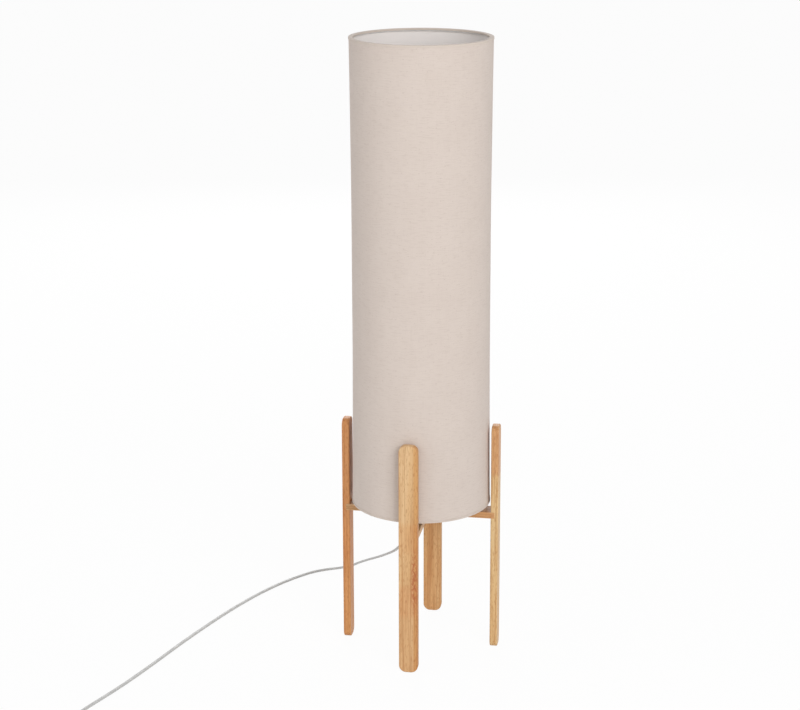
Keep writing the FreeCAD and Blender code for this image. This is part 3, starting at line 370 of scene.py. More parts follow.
@dataclass(frozen=True)
class Cloth:
    """Woven cloth whose threads follow the piece's own flattened coordinates."""

    name: str
    colour: Colour
    # The darker colour of thick threads and specks, also laid into the weave's gaps as painted shade.
    shade: Colour
    weave: Weave = Weave.DRUM
    slubs: float = 1.0
    sheen: float = 0.12

    # Cells per metre along and across the cloth.
    LYING = Pattern((38, 1150, 1), 2.0, 0.55)
    STANDING = Pattern((1150, 30, 1), 2.0, 0.55)
    KNOTS = Pattern((120, 620, 1), 1.0)
    CLOUD = Pattern((22, 16, 1))
    THICK = Pattern((75, 540, 1), 1.0)
    SPECKS = Pattern((300, 380, 1), 0.0)

    def material(self) -> bpy.types.Material:
        """Builds the cloth.

        Returns:
            The material, with a plain weave whose gaps carry painted shade, thick and thin threads and a
            faint cloudiness.
        """
        graph = Graph(self.name)
        pitch, depth = self.weave.value
        flat = graph.surface()
        parts = graph.axes(graph.scaled(flat, (math.pi / pitch, math.pi / pitch, 1.0)))
        warp, weft = (graph.calc("ABSOLUTE", graph.calc("SINE", parts[axis])) for axis in range(2))
        weave = graph.calc("MULTIPLY", warp, weft)
        patterns = (self.LYING, self.STANDING, self.KNOTS, self.CLOUD, self.THICK, self.SPECKS)
        lying, standing, knots, cloud, thick, specks = (graph.speckle(flat, each) for each in patterns)
        threads = graph.calc("ADD", graph.spread(lying, 0.50, 0.80, 0.0, 0.55),
                             graph.spread(standing, 0.52, 0.82, 0.0, 0.40))
        threads = graph.calc("ADD", threads, graph.spread(knots, 0.66, 0.78, 0.0, 0.8))
        colour = graph.stain(self.colour, self.shade, (cloud, 0.3, 0.7, 0.08),
                             (thick, 0.50, 0.72, 0.22 * self.slubs),
                             (specks, 0.72, 0.80, 0.38 * self.slubs))
        share = graph.calc("MULTIPLY", threads, 0.50 * self.slubs, True)
        colour = graph.tint(share, colour, self.shade)
        # Painted shade: the gaps between the crossing threads are darkened.
        colour = graph.tint(graph.spread(weave, 0.0, 0.5, 0.22, 0.0), colour, self.shade)
        relief = graph.bump(weave, depth, 0.6)
        relief = graph.bump(threads, depth * 1.6 * self.slubs, 0.7, relief)
        return graph.close(colour, 0.86, relief, Specular_IOR_Level=0.25, Sheen_Weight=self.sheen,
                           Sheen_Roughness=0.5)


@dataclass(frozen=True)
class Moulded:
    """Moulded plastic, glass or ceramic with a fine skin."""

    name: str
    colour: Colour
    rough: float = 0.42
    skin: float = 0.03 * MM
    coarse: float = 900.0
    dust: float = 0.30
    coat: float = 0.0

    FILM = Pattern((70, 70, 70), 4.0, 0.6)

    def material(self) -> bpy.types.Material:
        """Builds the plastic.

        Returns:
            The material, with a fine spark-eroded skin and a little settled dust.
        """
        graph = Graph(self.name)
        skin = graph.speckle(graph.solid(), Pattern((self.coarse,) * 3, 3.0, 0.6))
        film = graph.speckle(graph.solid(), self.FILM)
        worn = tuple(0.86 * c + 0.02 for c in self.colour)
        colour = graph.stain(self.colour, worn, (film, 0.45, 0.75, self.dust))
        gloss = graph.spread(film, 0.3, 0.75, self.rough, min(self.rough + 0.14, 1.0))
        return graph.close(colour, gloss, graph.bump(skin, self.skin, 0.5), Specular_IOR_Level=0.5,
                           Coat_Weight=self.coat)


@dataclass(frozen=True)
class Metal:
    """Plated, painted or turned metal."""

    name: str
    colour: Colour
    rough: float = 0.30
    metallic: float = 1.0

    LINES = Pattern((300, 300, 2600), 2.0, 0.6)
    WEAR = Pattern((140, 140, 140), 4.0, 0.65)

    def material(self) -> bpy.types.Material:
        """Builds the metal.

        Returns:
            The material, with fine turning lines and cloudy wear in its gloss.
        """
        graph = Graph(self.name)
        lines, wear = (graph.speckle(graph.solid(), each) for each in (self.LINES, self.WEAR))
        dull = tuple(0.72 * c for c in self.colour)
        colour = graph.stain(self.colour, dull, (wear, 0.48, 0.75, 0.6))
        gloss = graph.spread(wear, 0.3, 0.7, self.rough, self.rough + 0.16)
        return graph.close(colour, gloss, graph.bump(lines, 0.015 * MM, 0.4), Metallic=self.metallic)


@dataclass(frozen=True)
class Opal:
    """The bulb's satin opal globe, which light sinks into a little."""

    name: str
    colour: Colour = (0.90, 0.89, 0.86)
    warmth: Colour = (0.98, 0.95, 0.88)

    BLOOM = Pattern((90, 90, 90), 3.0)

    def material(self) -> bpy.types.Material:
        """Builds the opal.

        Returns:
            The material, with a warm cloudiness.
        """
        graph = Graph(self.name)
        bloom = graph.speckle(graph.solid(), self.BLOOM)
        warm = tuple(c * f for c, f in zip(self.colour, self.warmth))
        colour = graph.stain(self.colour, warm, (bloom, 0.3, 0.7, 0.35))
        gloss = graph.spread(bloom, 0.3, 0.7, 0.30, 0.40)
        return graph.close(colour, gloss, Subsurface_Weight=0.25, Subsurface_Scale=4 * MM,
                           Specular_IOR_Level=0.5)


@dataclass(frozen=True)
class FlexSkin:
    """The soft grey sheath of the flat flex, drawn along its length."""

    name: str
    colour: Colour = (0.56, 0.56, 0.55)

    DRAWN = Pattern((14, 2200, 1))
    FILM = Pattern((60, 160, 1), 3.0, 0.6)

    def material(self) -> bpy.types.Material:
        """Builds the sheath.

        Returns:
            The material, with draw lines along the cord and a dusty film.
        """
        graph = Graph(self.name)
        drawn, film = (graph.speckle(graph.surface(), each) for each in (self.DRAWN, self.FILM))
        dull = tuple(0.82 * c for c in self.colour)
        colour = graph.stain(self.colour, dull, (film, 0.4, 0.75, 0.55))
        gloss = graph.spread(film, 0.3, 0.7, 0.42, 0.58)
        return graph.close(colour, gloss, graph.bump(drawn, 0.03 * MM, 0.5), Specular_IOR_Level=0.45)


# ---------------------------------------------------------------- mesh helpers


def placed(name: str, data: bpy.types.ID) -> bpy.types.Object:
    """Puts a new object into the scene, at the origin.

    Args:
        name: Its name.
        data: Its mesh, curve, lamp or camera.

    Returns:
        The object.
    """
    thing = bpy.data.objects.new(name, data)
    bpy.context.scene.collection.objects.link(thing)
    return thing


def publish(name: str, mesh: bmesh.types.BMesh, finish: bpy.types.Material, slot: str,
            *nodes: str) -> bpy.types.Object:
    """Makes a scene piece of a bmesh, at the origin and riding on the stand.

    Args:
        name: The piece's name.
        mesh: The shape, which is freed.
        finish: Its material.
        slot: The record's material slot; not used.
        *nodes: The CAD nodes that it takes the place of.

    Returns:
        The new object.
    """
    data = bpy.data.meshes.new(name)
    for face in mesh.faces:
        face.smooth = True
    mesh.to_mesh(data)
    mesh.free()
    data.set_sharp_from_angle(angle=CREASE)
    data.materials.append(finish)
    piece = placed(name, data)
    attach(piece, "stand")
    if nodes:
        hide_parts(*nodes)
    LOG.info("made %s: %d faces", name, len(data.polygons))
    return piece


def turned(outline: list[Point2], steps: int, closed: bool = True) -> bmesh.types.BMesh:
    """Spins an outline of (radius, height) points round the Z axis.

    Args:
        outline: The points, in metres.
        steps: The number of segments round.
        closed: Whether the outline joins up with itself; if not, it starts and ends on the axis.

    Returns:
        The closed shape.
    """
    mesh = bmesh.new()
    corners = [mesh.verts.new((radius, 0, height)) for radius, height in outline]
    following = corners[1:] + corners[:1] if closed else corners[1:]
    edges = [mesh.edges.new(pair) for pair in zip(corners, following)]
    bmesh.ops.spin(mesh, geom=corners + edges, cent=(0, 0, 0), axis=UP, angle=TURN, steps=steps,
                   use_merge=True)
    bmesh.ops.remove_doubles(mesh, verts=mesh.verts, dist=1e-6)
    bmesh.ops.recalc_face_normals(mesh, faces=mesh.faces)
    return mesh


def soften(mesh: bmesh.types.BMesh, width: float, least: float = 30.0, segments: int = 2) -> None:
    """Bevels the edges where faces meet at more than an angle.

    Args:
        mesh: The shape, which changes.
        width: The bevel's width in metres.
        least: The angle in degrees.
        segments: The bevel's segments.
    """
    sharp = [e for e in mesh.edges
             if len(e.link_faces) == 2 and e.calc_face_angle(0.0) > math.radians(least)]
    bmesh.ops.bevel(mesh, geom=sharp, offset=width, offset_type="OFFSET", affect="EDGES",
                    segments=segments, profile=0.5, material=-1, clamp_overlap=True)


def flatten_round(mesh: bmesh.types.BMesh, radius: float) -> None:
    """Gives an upright round piece a UV map in metres: round the Z axis, and up.

    Args:
        mesh: The shape, which changes.
        radius: The radius at which the map has its real size.
    """
    layer = mesh.loops.layers.uv.new("UVMap")
    for face in mesh.faces:
        middle = face.calc_center_median()
        base = math.atan2(middle.y, middle.x)
        for loop in face.loops:
            at = loop.vert.co
            angle = near_turn(math.atan2(at.y, at.x), base)
            loop[layer].uv = (angle * radius, at.z + math.hypot(at.x, at.y))


def near_turn(angle: float, base: float) -> float:
    """An angle, with whole turns added so that it is within half a turn of another."""
    return angle + TURN * round((base - angle) / TURN)


def outward(at: Vector) -> Vector:
    """The level direction from the Z axis to a point."""
    return Vector((at.x, at.y, 0)).normalized()


def dress(finish: bpy.types.Material, *nodes: str) -> None:
    """Gives carried-over CAD nodes a finish of the scene's own.

    Args:
        finish: The material.
        *nodes: The nodes' names.
    """
    for name in nodes:
        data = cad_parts[name].data
        data.materials.clear()
        data.materials.append(finish)
        LOG.info("dressed %s with %s", name, finish.name)


# ---------------------------------------------------------------- wooden stand


@dataclass
class Stand:
    """Four flat legs and the half-lapped cross, whose CAD shapes stay."""

    deep_tone: Colour = (1.0, 0.78, 0.58)
    red_tone: Colour = (1.0, 0.74, 0.54)
    warm_tone: Colour = (0.98, 0.88, 0.80)
    light_tone: Colour = (1.06, 1.14, 1.10)
    dusky_tone: Colour = (1.04, 0.98, 0.87)
    front_joints: tuple[tuple[float, Colour], ...] = (
        (0.098, (1.0, 0.94, 0.90)), (0.150, (1.02, 1.04, 1.03)),
        (0.205, (1.0, 0.97, 0.93)), (0.252, (1.03, 1.09, 1.13)),
    )
    under_floor: float = -0.1  # A joint down here gives the whole board one tone.
    flame_edge: float = 2.6 * MM
    flame_span: Point2 = (0.088, 0.224)
    flame_reach: Point = (10.0 * MM, 5.0 * MM, 9.0 * MM)  # Inwards, outwards and through.
    # Width of the band along the front leg's right edge that is painted darker and redder: redder wood
    # and painted shade on its rounded edge.
    red_shade_width: float = 8.5 * MM

    def boards(self) -> dict[str, Board]:
        """One finish for each board, because the strips differ.

        Returns:
            The finish of each CAD node.
        """
        low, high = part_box("leg_front")
        edge = high.x - self.flame_edge
        (bottom, top), (inwards, outwards, through) = self.flame_span, self.flame_reach
        flame = ((edge - inwards, low.y - through, bottom), (edge + outwards, low.y + through, top))
        up = Grain.UPRIGHT
        return {
            "leg_front": Board("front_leg_wood", up, (0.31, 0.12, 0.05), joints=self.front_joints,
                               flame=flame, shaded_red_edge=high.x - self.red_shade_width),
            "leg_right": Board("right_leg_wood", up, (1.7, 0.4, 0.9),
                               joints=((self.under_floor, self.light_tone), (0.300, self.warm_tone))),
            "leg_back": Board("back_leg_wood", up, (2.9, 1.1, 0.2),
                              joints=((self.under_floor, self.dusky_tone),)),
            "leg_left": Board("left_leg_wood", up, (4.3, 2.2, 1.6),
                              joints=((self.under_floor, self.deep_tone), (0.142, self.red_tone))),
            "cross_bar_lower": Board("lower_bar_wood", Grain.DEEP, (5.1, 0.7, 2.4),
                                     joints=((0.03, self.warm_tone),)),
            "cross_bar_upper": Board("upper_bar_wood", Grain.ACROSS, (6.6, 3.1, 0.3),
                                     joints=((-0.05, self.warm_tone),)),
            "leg_dowels": Board("dowel_wood", Grain.ACROSS, (8.0, 1.0, 0.5),
                                pale=(0.74, 0.55, 0.34), middle=(0.68, 0.47, 0.27)),
        }

    def build(self) -> None:
        """Dresses the boards and the dowels."""
        for node, board in self.boards().items():
            dress(board.material(), node)


# ---------------------------------------------------------------- drum shade


@dataclass
class DrumShade:
    """The fabric drum: cloth over a stiff liner, wired and hemmed at both ends."""

    steps: int = 240
    course: float = 12.0 * MM
    waist: float = 2.2 * MM
    fabric: float = 0.8 * MM
    liner: float = 0.8 * MM
    glue: float = 0.05 * MM
    seam_width: float = 14.0 * MM
    hem_height: float = 2.5 * MM
    flap_height: float = 2.4 * MM
    flap_start: float = 1.0 * MM
    tape: float = 0.6 * MM
    slit_half_angle: float = math.radians(1.4)
    slit_floor: float = 0.4 * MM
    wire: float = 4.0 * MM
    wire_gap: float = 0.15 * MM
    ragged: float = 0.2 * MM
    unevenness: float = 0.35 * MM
    arm_angles: tuple[float, ...] = (30.0, 150.0, 270.0)

    def __post_init__(self) -> None:
        """Reads the drum's size from its CAD node."""
        low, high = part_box("shade_fabric")
        self.radius = (high.x - low.x) / 2
        self.bottom, self.top = low.z, high.z
        self.cloth = Cloth("drum_cloth", (0.700, 0.612, 0.552), (0.530, 0.435, 0.380)).material()
        self.lining = Cloth("drum_lining", (0.91, 0.865, 0.840), (0.84, 0.79, 0.76), Weave.TAPE,
                            slubs=0.25, sheen=0.0).material()
        # Painted shade: the hem tape is the drum's cloth made a little darker, for the shade along the
        # rolled rim.
        self.shaded_edging = Cloth("hem_cloth_shaded", (0.675, 0.588, 0.522), (0.53, 0.44, 0.38), Weave.TAPE,
                            slubs=0.5).material()

    def pull(self, height: float) -> float:
        """How far the stretched cloth draws in at a height above the floor, in metres."""
        middle, half = (self.bottom + self.top) / 2, (self.top - self.bottom) / 2
        return self.waist * (1.0 - ((height - middle) / half) ** 2)

    def ripple(self, at: Vector) -> float:
        """The drum's slight unevenness, the same for every layer, none at its wired ends.

        Args:
            at: A point of the drum.

        Returns:
            How far out the layers bulge there, in metres.
        """
        level = (at.z - self.bottom) / (self.top - self.bottom)
        angle = math.atan2(at.y, at.x)
        spot = Vector((1.6 * math.cos(angle), 1.6 * math.sin(angle), 5.0 * level))
        return self.unevenness * math.sin(math.pi * min(max(level, 0.0), 1.0)) * noise.noise(spot)

    def layer(self, outer: float, thickness: float, start: float = 0.0, angle: float = TURN,
              low: float = 0.0, high: float = 0.0) -> bmesh.types.BMesh:
        """One layer of the drum, or a strip of it.

        Args:
            outer: The layer's outer radius at the wires.
            thickness: How thick it is.
            start: The angle at which a strip starts.
            angle: The angle that it covers.
            low: How far above the drum's bottom it starts.
            high: How far below the drum's top it ends.

        Returns:
            The closed layer, unevenness and all.
        """
        mesh = bmesh.new()
        whole = angle >= TURN
        bottom, top = self.bottom + low, self.top - high
        rows = max(round((top - bottom) / self.course), 2)
        heights = [bottom + (top - bottom) * k / rows for k in range(rows + 1)]
        corners = [mesh.verts.new((outer, 0, height)) for height in heights]
        edges = [mesh.edges.new(pair) for pair in zip(corners, corners[1:])]
        bmesh.ops.rotate(mesh, verts=corners, cent=(0, 0, 0), matrix=Matrix.Rotation(start, 3, "Z"))
        steps = self.steps if whole else max(round(self.steps * 2 * angle / TURN), 4)
        bmesh.ops.spin(mesh, geom=corners + edges, cent=(0, 0, 0), axis=(0, 0, 1), angle=angle,
                       steps=steps, use_merge=whole)
        bmesh.ops.remove_doubles(mesh, verts=mesh.verts, dist=1e-7)
        for vertex in mesh.verts:
            vertex.co += outward(vertex.co) * (self.ripple(vertex.co) - self.pull(vertex.co.z))
        bmesh.ops.recalc_face_normals(mesh, faces=mesh.faces)
        probe = next(iter(mesh.faces))
        if probe.normal.dot(outward(probe.calc_center_median())) < 0:
            bmesh.ops.reverse_faces(mesh, faces=mesh.faces)
        bmesh.ops.solidify(mesh, geom=mesh.faces, thickness=thickness)
        return mesh

    def hem(self, name: str, edge: float, inward: float, slits: tuple[float, ...]) -> bpy.types.Object:
        """The folded tape over an end of the drum, with its inner turn slit for the wires.

        Args:
            name: The piece's name, which is its CAD node's.
            edge: The height of the drum's end.
            inward: 1 at the bottom end, and -1 at the top.
            slits: The angles of the arms that pass through it.

        Returns:
            The new piece.
        """
        inner = -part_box("shade_top_ring")[0].x - self.wire - self.wire_gap
        outer = self.radius + self.glue
        tape, low = self.tape, edge - self.tape * inward
        outline = [
            (outer, edge), (outer, edge + self.hem_height * inward),
            (outer + tape, edge + self.hem_height * inward), (outer + tape, low),
            (inner - tape, low), (inner - tape, edge + self.flap_height * inward),
            (inner, edge + self.flap_height * inward), (inner, edge),
        ]
        mesh = turned(outline, self.steps)
        for vertex in mesh.verts:
            at = vertex.co
            angle = math.atan2(at.y, at.x)
            if math.hypot(at.x, at.y) < inner + 0.1 * MM and (at.z - edge) * inward > self.flap_start:
                wander = noise.noise(Vector((9 * math.cos(angle), 9 * math.sin(angle), 3.0)))
                at.z -= inward * self.ragged * (1.0 + wander)
                near = min((abs(math.remainder(angle - slit, TURN)) for slit in slits), default=TURN)
                if near < self.slit_half_angle:
                    at.z = edge + self.slit_floor * inward
        soften(mesh, 0.22 * MM, 40.0)
        flatten_round(mesh, self.radius)
        return publish(name + "_tape", mesh, self.shaded_edging, "fabric", name)

    def build(self) -> None:
        """Makes the cloth, its seam, the liner and the two hems."""
        width = self.seam_width / self.radius
        margin = self.hem_height + 0.5 * MM
        cloth = self.layer(self.radius, self.fabric)
        overlap = self.layer(self.radius + self.fabric, self.fabric - self.glue,
                             TURN / 4 - width / 2, width, margin, margin)
        soften(overlap, 0.18 * MM, 50.0)
        stiff = self.layer(self.radius - self.fabric - self.glue, self.liner)
        for mesh in (cloth, overlap, stiff):
            flatten_round(mesh, self.radius)
        outside = publish("drum_cloth", cloth, self.cloth, "fabric", "shade_fabric")
        seam = publish("drum_seam", overlap, self.cloth, "fabric", "shade_seam")
        publish("drum_liner", stiff, self.lining, "liner", "shade_liner")
        self.hem("shade_top_hem", self.top, -1.0, ())
        arms = tuple(math.radians(angle) for angle in self.arm_angles)
        self.hem("shade_bottom_hem", self.bottom, 1.0, arms)
        dress(Metal("white_wire", (0.80, 0.79, 0.77), 0.38, 0.0).material(),
              "shade_top_ring", "shade_bottom_ring", "shade_spider")


# ---------------------------------------------------------------- lampholder and bulb


@dataclass
class Lampholder:
    """The screw holder on its plate, and the ribbed ring that clamps the shade's fitter."""

    ribs: int = 48
    rib_depth: float = 0.7 * MM
    ring_wall: float = 5.0 * MM
    ring_fit: float = 0.05 * MM
    shoulder: float = 2.0 * MM
    slope: float = 3.0 * MM
    thread_pitch: float = 2.6 * MM
    thread_half: float = 0.8 * MM
    thread_sunk: float = 0.3 * MM
    thread_proud: float = 0.55 * MM
    thread_flat: float = 0.2 * MM
    thread_ends: Point2 = (1.4 * MM, 1.6 * MM)
    thread_steps: int = 72

    def __post_init__(self) -> None:
        """Makes the holder's finishes."""
        self.white = Moulded("holder_white", (0.80, 0.79, 0.76), 0.40).material()
        self.steel = Metal("zinc_steel", (0.62, 0.62, 0.63), 0.34).material()
        self.brass = Metal("contact_brass", (0.72, 0.52, 0.23), 0.28).material()
        self.block = Moulded("holder_block", (0.70, 0.68, 0.62), 0.75, 0.08 * MM).material()

    def clamp_ring(self) -> None:
        """The clamp ring, with grip grooves sunk into its slope."""
        low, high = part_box("shade_clamp_ring")
        outer = high.x
        bore = min(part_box("holder_shell")[1].x + self.ring_fit, outer - self.ring_wall)
        shoulder = low.z + self.shoulder
        outline = [(bore, low.z), (outer, low.z), (outer, shoulder), (outer - self.slope, high.z),
                   (bore, high.z)]
        mesh = turned(outline, self.ribs * 2)
        middles = {f: f.calc_center_median() for f in mesh.faces if 0.2 < f.normal.z < 0.9}
        flanks = [f for f, middle in middles.items() if middle.z > shoulder]
        flanks.sort(key=lambda f: math.atan2(middles[f].y, middles[f].x))
        grooves = flanks[::2]
        bmesh.ops.inset_individual(mesh, faces=grooves, thickness=0.25 * MM, depth=0.0)
        for vertex in {v for f in grooves for v in f.verts}:
            vertex.co -= outward(vertex.co) * self.rib_depth
        soften(mesh, 0.2 * MM, 50.0)
        publish("clamp_ring_ribbed", mesh, self.white, "white_plastic", "shade_clamp_ring")

    def thread(self) -> None:
        """The shell's outer thread where it stands clear above the clamp ring."""
        shell_high, ring_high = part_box("holder_shell")[1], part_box("shade_clamp_ring")[1]
        start = ring_high.z + self.thread_ends[0]
        room = shell_high.z - self.thread_ends[1] - start
        turns = max(room / self.thread_pitch, 1.0)
        root, crest = shell_high.x - self.thread_sunk, shell_high.x + self.thread_proud
        outline = [(root, start - self.thread_half), (crest, start - self.thread_flat),
                   (crest, start + self.thread_flat), (root, start + self.thread_half)]
        mesh = bmesh.new()
        face = mesh.faces.new([mesh.verts.new((radius, 0, height)) for radius, height in outline])
        steps = round(self.thread_steps * turns)
        bmesh.ops.spin(mesh, geom=[face], cent=(0, 0, 0), axis=UP, angle=TURN * turns,
                       dvec=(0, 0, room / steps), steps=steps, use_merge=False)
        bmesh.ops.remove_doubles(mesh, verts=mesh.verts, dist=1e-7)
        bmesh.ops.recalc_face_normals(mesh, faces=mesh.faces)
        publish("holder_thread", mesh, self.white, "white_plastic")

    def build(self) -> None:
        """Dresses the holder's nodes and makes its new pieces."""
        for finish, nodes in (
            (self.white, ("holder_base", "holder_shell")),
            (self.steel, ("holder_plate", "plate_screws", "threaded_nipple", "nipple_nut",
                          "nipple_washer")),
            (self.brass, ("screw_sleeve", "centre_contact", "holder_terminals", "terminal_screws")),
            (self.block, ("holder_insert",)),
        ):
            dress(finish, *nodes)
        self.clamp_ring()
        self.thread()


@dataclass
class Bulb:
    """The screw-in bulb, which turns and lifts out."""

    def build(self) -> None:
        """Dresses the bulb's nodes."""
        for node, finish in (
            ("bulb_cap", Metal("bulb_cap_metal", (0.74, 0.74, 0.75), 0.26)),
            ("bulb_tip", Metal("tip_solder", (0.60, 0.58, 0.55), 0.40)),
            ("bulb_insulator", Moulded("insulator_glass", (0.02, 0.02, 0.022), 0.12, coat=0.4)),
            ("bulb_housing", Moulded("bulb_housing_white", (0.83, 0.83, 0.81), 0.30)),
            ("bulb_board", Moulded("board_mask", (0.72, 0.73, 0.72), 0.5)),
            ("bulb_globe", Opal("bulb_opal")),
        ):
            dress(finish.material(), node)


# ---------------------------------------------------------------- flex


# The cord's route, in metres, in the air and on the floor, between the ends that the parts set.
RUN_POINTS: tuple[Point, ...] = (
    (-0.02464, 0.03572, 0.17111),
    (-0.0397, 0.0576, 0.142),
    (-0.0568, 0.0823, 0.118),
    (-0.0761, 0.1103, 0.099),
    (-0.0971, 0.1408, 0.0796),
    (-0.1192, 0.1729, 0.0606),
    (-0.1419, 0.2058, 0.0404),
    (-0.1625, 0.233, 0.021),
    (-0.188, 0.2495, 0.008),
    (-0.213, 0.252, 0.0026),
    (-0.236, 0.237, 0.002),
    (-0.2585, 0.209, 0.002),
    (-0.282, 0.174, 0.002),
    (-0.3075, 0.125, 0.002),
    (-0.334, 0.061, 0.002),
    (-0.3575, -0.007, 0.002),
    (-0.382, -0.086, 0.002),
    (-0.404, -0.166, 0.002),
    (-0.427, -0.243, 0.0022),
    (-0.447, -0.303, 0.0036),
    (-0.459, -0.34, 0.0052),
)
LEAD_POINTS: tuple[Point, ...] = (
    (-0.5019, -0.5001, 0.0052),
    (-0.4917, -0.5289, 0.0042),
    (-0.4666, -0.5464, 0.0039),
)


@dataclass
class Flex:
    """The flat two-core flex, its reliefs, switch, coil, tie and plug."""

    width: float = 5.8 * MM
    thickness: float = 3.6 * MM
    relief: float = 20.0 * MM
    relief_base: float = 5.0 * MM
    relief_tip: float = 3.7 * MM
    coil_centre: Point2 = (-0.420, -0.5104)
    coil_radius: float = 36.0 * MM
    coil_pitch: float = 4.4 * MM
    coil_rise: float = 6.3 * MM
    coil_halves: int = 4
    points_a_half: int = 8
    entry_height: float = 3.9 * MM
    outlet_turn: float = math.radians(124.6)
    outlet_seat: float = 3.75 * MM
    switch_entry: float = 5.2 * MM
    switch_centre: Point2 = (-0.4802, -0.4191)
    switch_turn: float = math.radians(255.0)
    switch_length: float = 70.0 * MM
    button_stroke: float = 3.0 * MM
    plug_axis: float = 7.3 * MM
    plug_ahead: float = 54.0 * MM
    tail_ease: float = 0.8  # In thirds of the tail: the last control point's distance from the plug.
    groove: float = 0.12 * MM
    round_steps: int = 8
    relief_steps: int = 40
    relief_rings: int = 5
    first_ring: float = 2.0 * MM
    ringless: float = 6.0 * MM
    collar: float = 1.2 * MM
    tip_chamfer: float = 0.5 * MM
    ring_outline: tuple[Point2, ...] = ((0.0, 0.0), (0.35 * MM, 0.8 * MM), (1.15 * MM, 0.8 * MM),
                                        (1.5 * MM, 0.0))
    steep: float = 0.35  # A line more upright than this keeps the first level direction.

    def __post_init__(self) -> None:
        """Makes the flex's finishes."""
        self.sheath = FlexSkin("flex_sheath").material()
        self.grey = Moulded("fitting_grey", (0.50, 0.50, 0.49), 0.46, 0.05 * MM, 700.0).material()
        side = Vector((math.cos(self.outlet_turn), math.sin(self.outlet_turn), 0))
        self.away = (side - UP).normalized()
        seat = (side + UP) * self.outlet_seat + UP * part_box("cord_grip")[0].z
        self.exit = seat + self.away * self.relief

    def switch_point(self, along: float) -> Vector:
        """A point on the switch's axis where the cord enters, along metres from its middle."""
        heading = Vector((math.cos(self.switch_turn), math.sin(self.switch_turn), 0))
        return Vector((*self.switch_centre, self.switch_entry)) + heading * along

    def run_line(self) -> list[Vector]:
        """The control points from the lamp to the switch."""
        reach = self.switch_length / 2 + self.relief
        return [self.exit.copy(), *(Vector(p) for p in RUN_POINTS), self.switch_point(-reach)]

    def half_turn(self, start: Point, radius: float, side: float, rise: float) -> list[Vector]:
        """Control points for half a turn of the coil, outside it because the line cuts inside them.

        Args:
            start: Where it starts, at the coil's south or north end.
            radius: Its radius.
            side: 1 from the south round by the east, and -1 from the north round by the west.
            rise: How much higher it ends.

        Returns:
            The points.
        """
        x, y, z = start
        count = self.points_a_half
        reach = radius / math.cos(math.pi / (2 * count))
        middle = y + radius * side
        points = []
        for share in ((k + 0.5) / count for k in range(count)):
            across, back = math.sin(math.pi * share) * side, math.cos(math.pi * share) * side
            points.append(Vector((x + reach * across, middle - reach * back, z + rise * share)))
        return points

    def coil_line(self) -> list[Vector]:
        """The coil's control points: half turns that spiral in, climb a layer and spiral out.

        Returns:
            The points, as far as the east side, where the tail leaves.
        """
        step = self.coil_pitch / 2
        radii = [self.coil_radius - step * k for k in range(self.coil_halves)]
        order = [(r, 0.0) for r in radii] + [(radii[-1] - step, self.coil_rise)]
        order += [(r, 0.0) for r in radii[:0:-1]]
        x, y = self.coil_centre[0], self.coil_centre[1] - self.coil_radius
        z, side, line = self.entry_height, 1.0, []
        for radius, rise in order:
            line += self.half_turn((x, y, z), radius, side, rise)
            y, z, side = y + 2 * radius * side, z + rise, -side
        return line + self.half_turn((x, y, z), self.coil_radius, side, 0.0)[:self.points_a_half // 2]

    def lead_line(self) -> list[Vector]:
        """The control points from the switch through the coil to the plug's relief.

        Returns:
            The points, in the cord's order.
        """
        coil = self.coil_line()
        east = Vector((self.coil_centre[0] + self.coil_radius, self.coil_centre[1], coil[-1].z))
        end = Vector((east.x, self.coil_centre[1] + self.plug_ahead, self.plug_axis))
        third = Vector((0, (end.y - east.y) / 3, 0))
        start = self.switch_point(self.switch_length / 2 + self.relief)
        return [start, *(Vector(p) for p in LEAD_POINTS), *coil, east + third,
                end - third * self.tail_ease, end]

    def follow(self, name: str, points: list[Vector]) -> list[Vector]:
        """A smooth line through the points' corners.

        Args:
            name: A name for the spline.
            points: Its control points.

        Returns:
            Points along the smooth line, close together.
        """
        curve = bpy.data.curves.new(name + "_line", "CURVE")
        curve.dimensions = "3D"
        curve.resolution_u = 8
        spline = curve.splines.new("NURBS")
        spline.points.add(len(points) - 1)
        for slot, point in zip(spline.points, points):
            slot.co = (*point, 1.0)
        spline.order_u = 3
        spline.use_endpoint_u = True
        carrier = placed(name + "_line", curve)
        graph = bpy.context.evaluated_depsgraph_get()
        line = bpy.data.meshes.new_from_object(carrier.evaluated_get(graph))
        route = [vertex.co.copy() for vertex in line.vertices]
        bpy.data.objects.remove(carrier)
        bpy.data.meshes.remove(line)
        bpy.data.curves.remove(curve)
        return route

    def section(self) -> list[Point2]:
        """The flat section: two half rounds with a faint groove between the cores.

        Returns:
            Its points, in metres.
        """
        radius = self.thickness / 2
        straight = self.width / 2 - radius
        outline = []
        for side in (1.0, -1.0):
            for k in range(self.round_steps + 1):
                angle = math.pi * (k / self.round_steps - 0.5)
                out, up = radius * math.cos(angle), radius * math.sin(angle)
                outline.append((side * (straight + out), side * up))
            outline.append((0.0, side * (radius - self.groove)))
        return outline

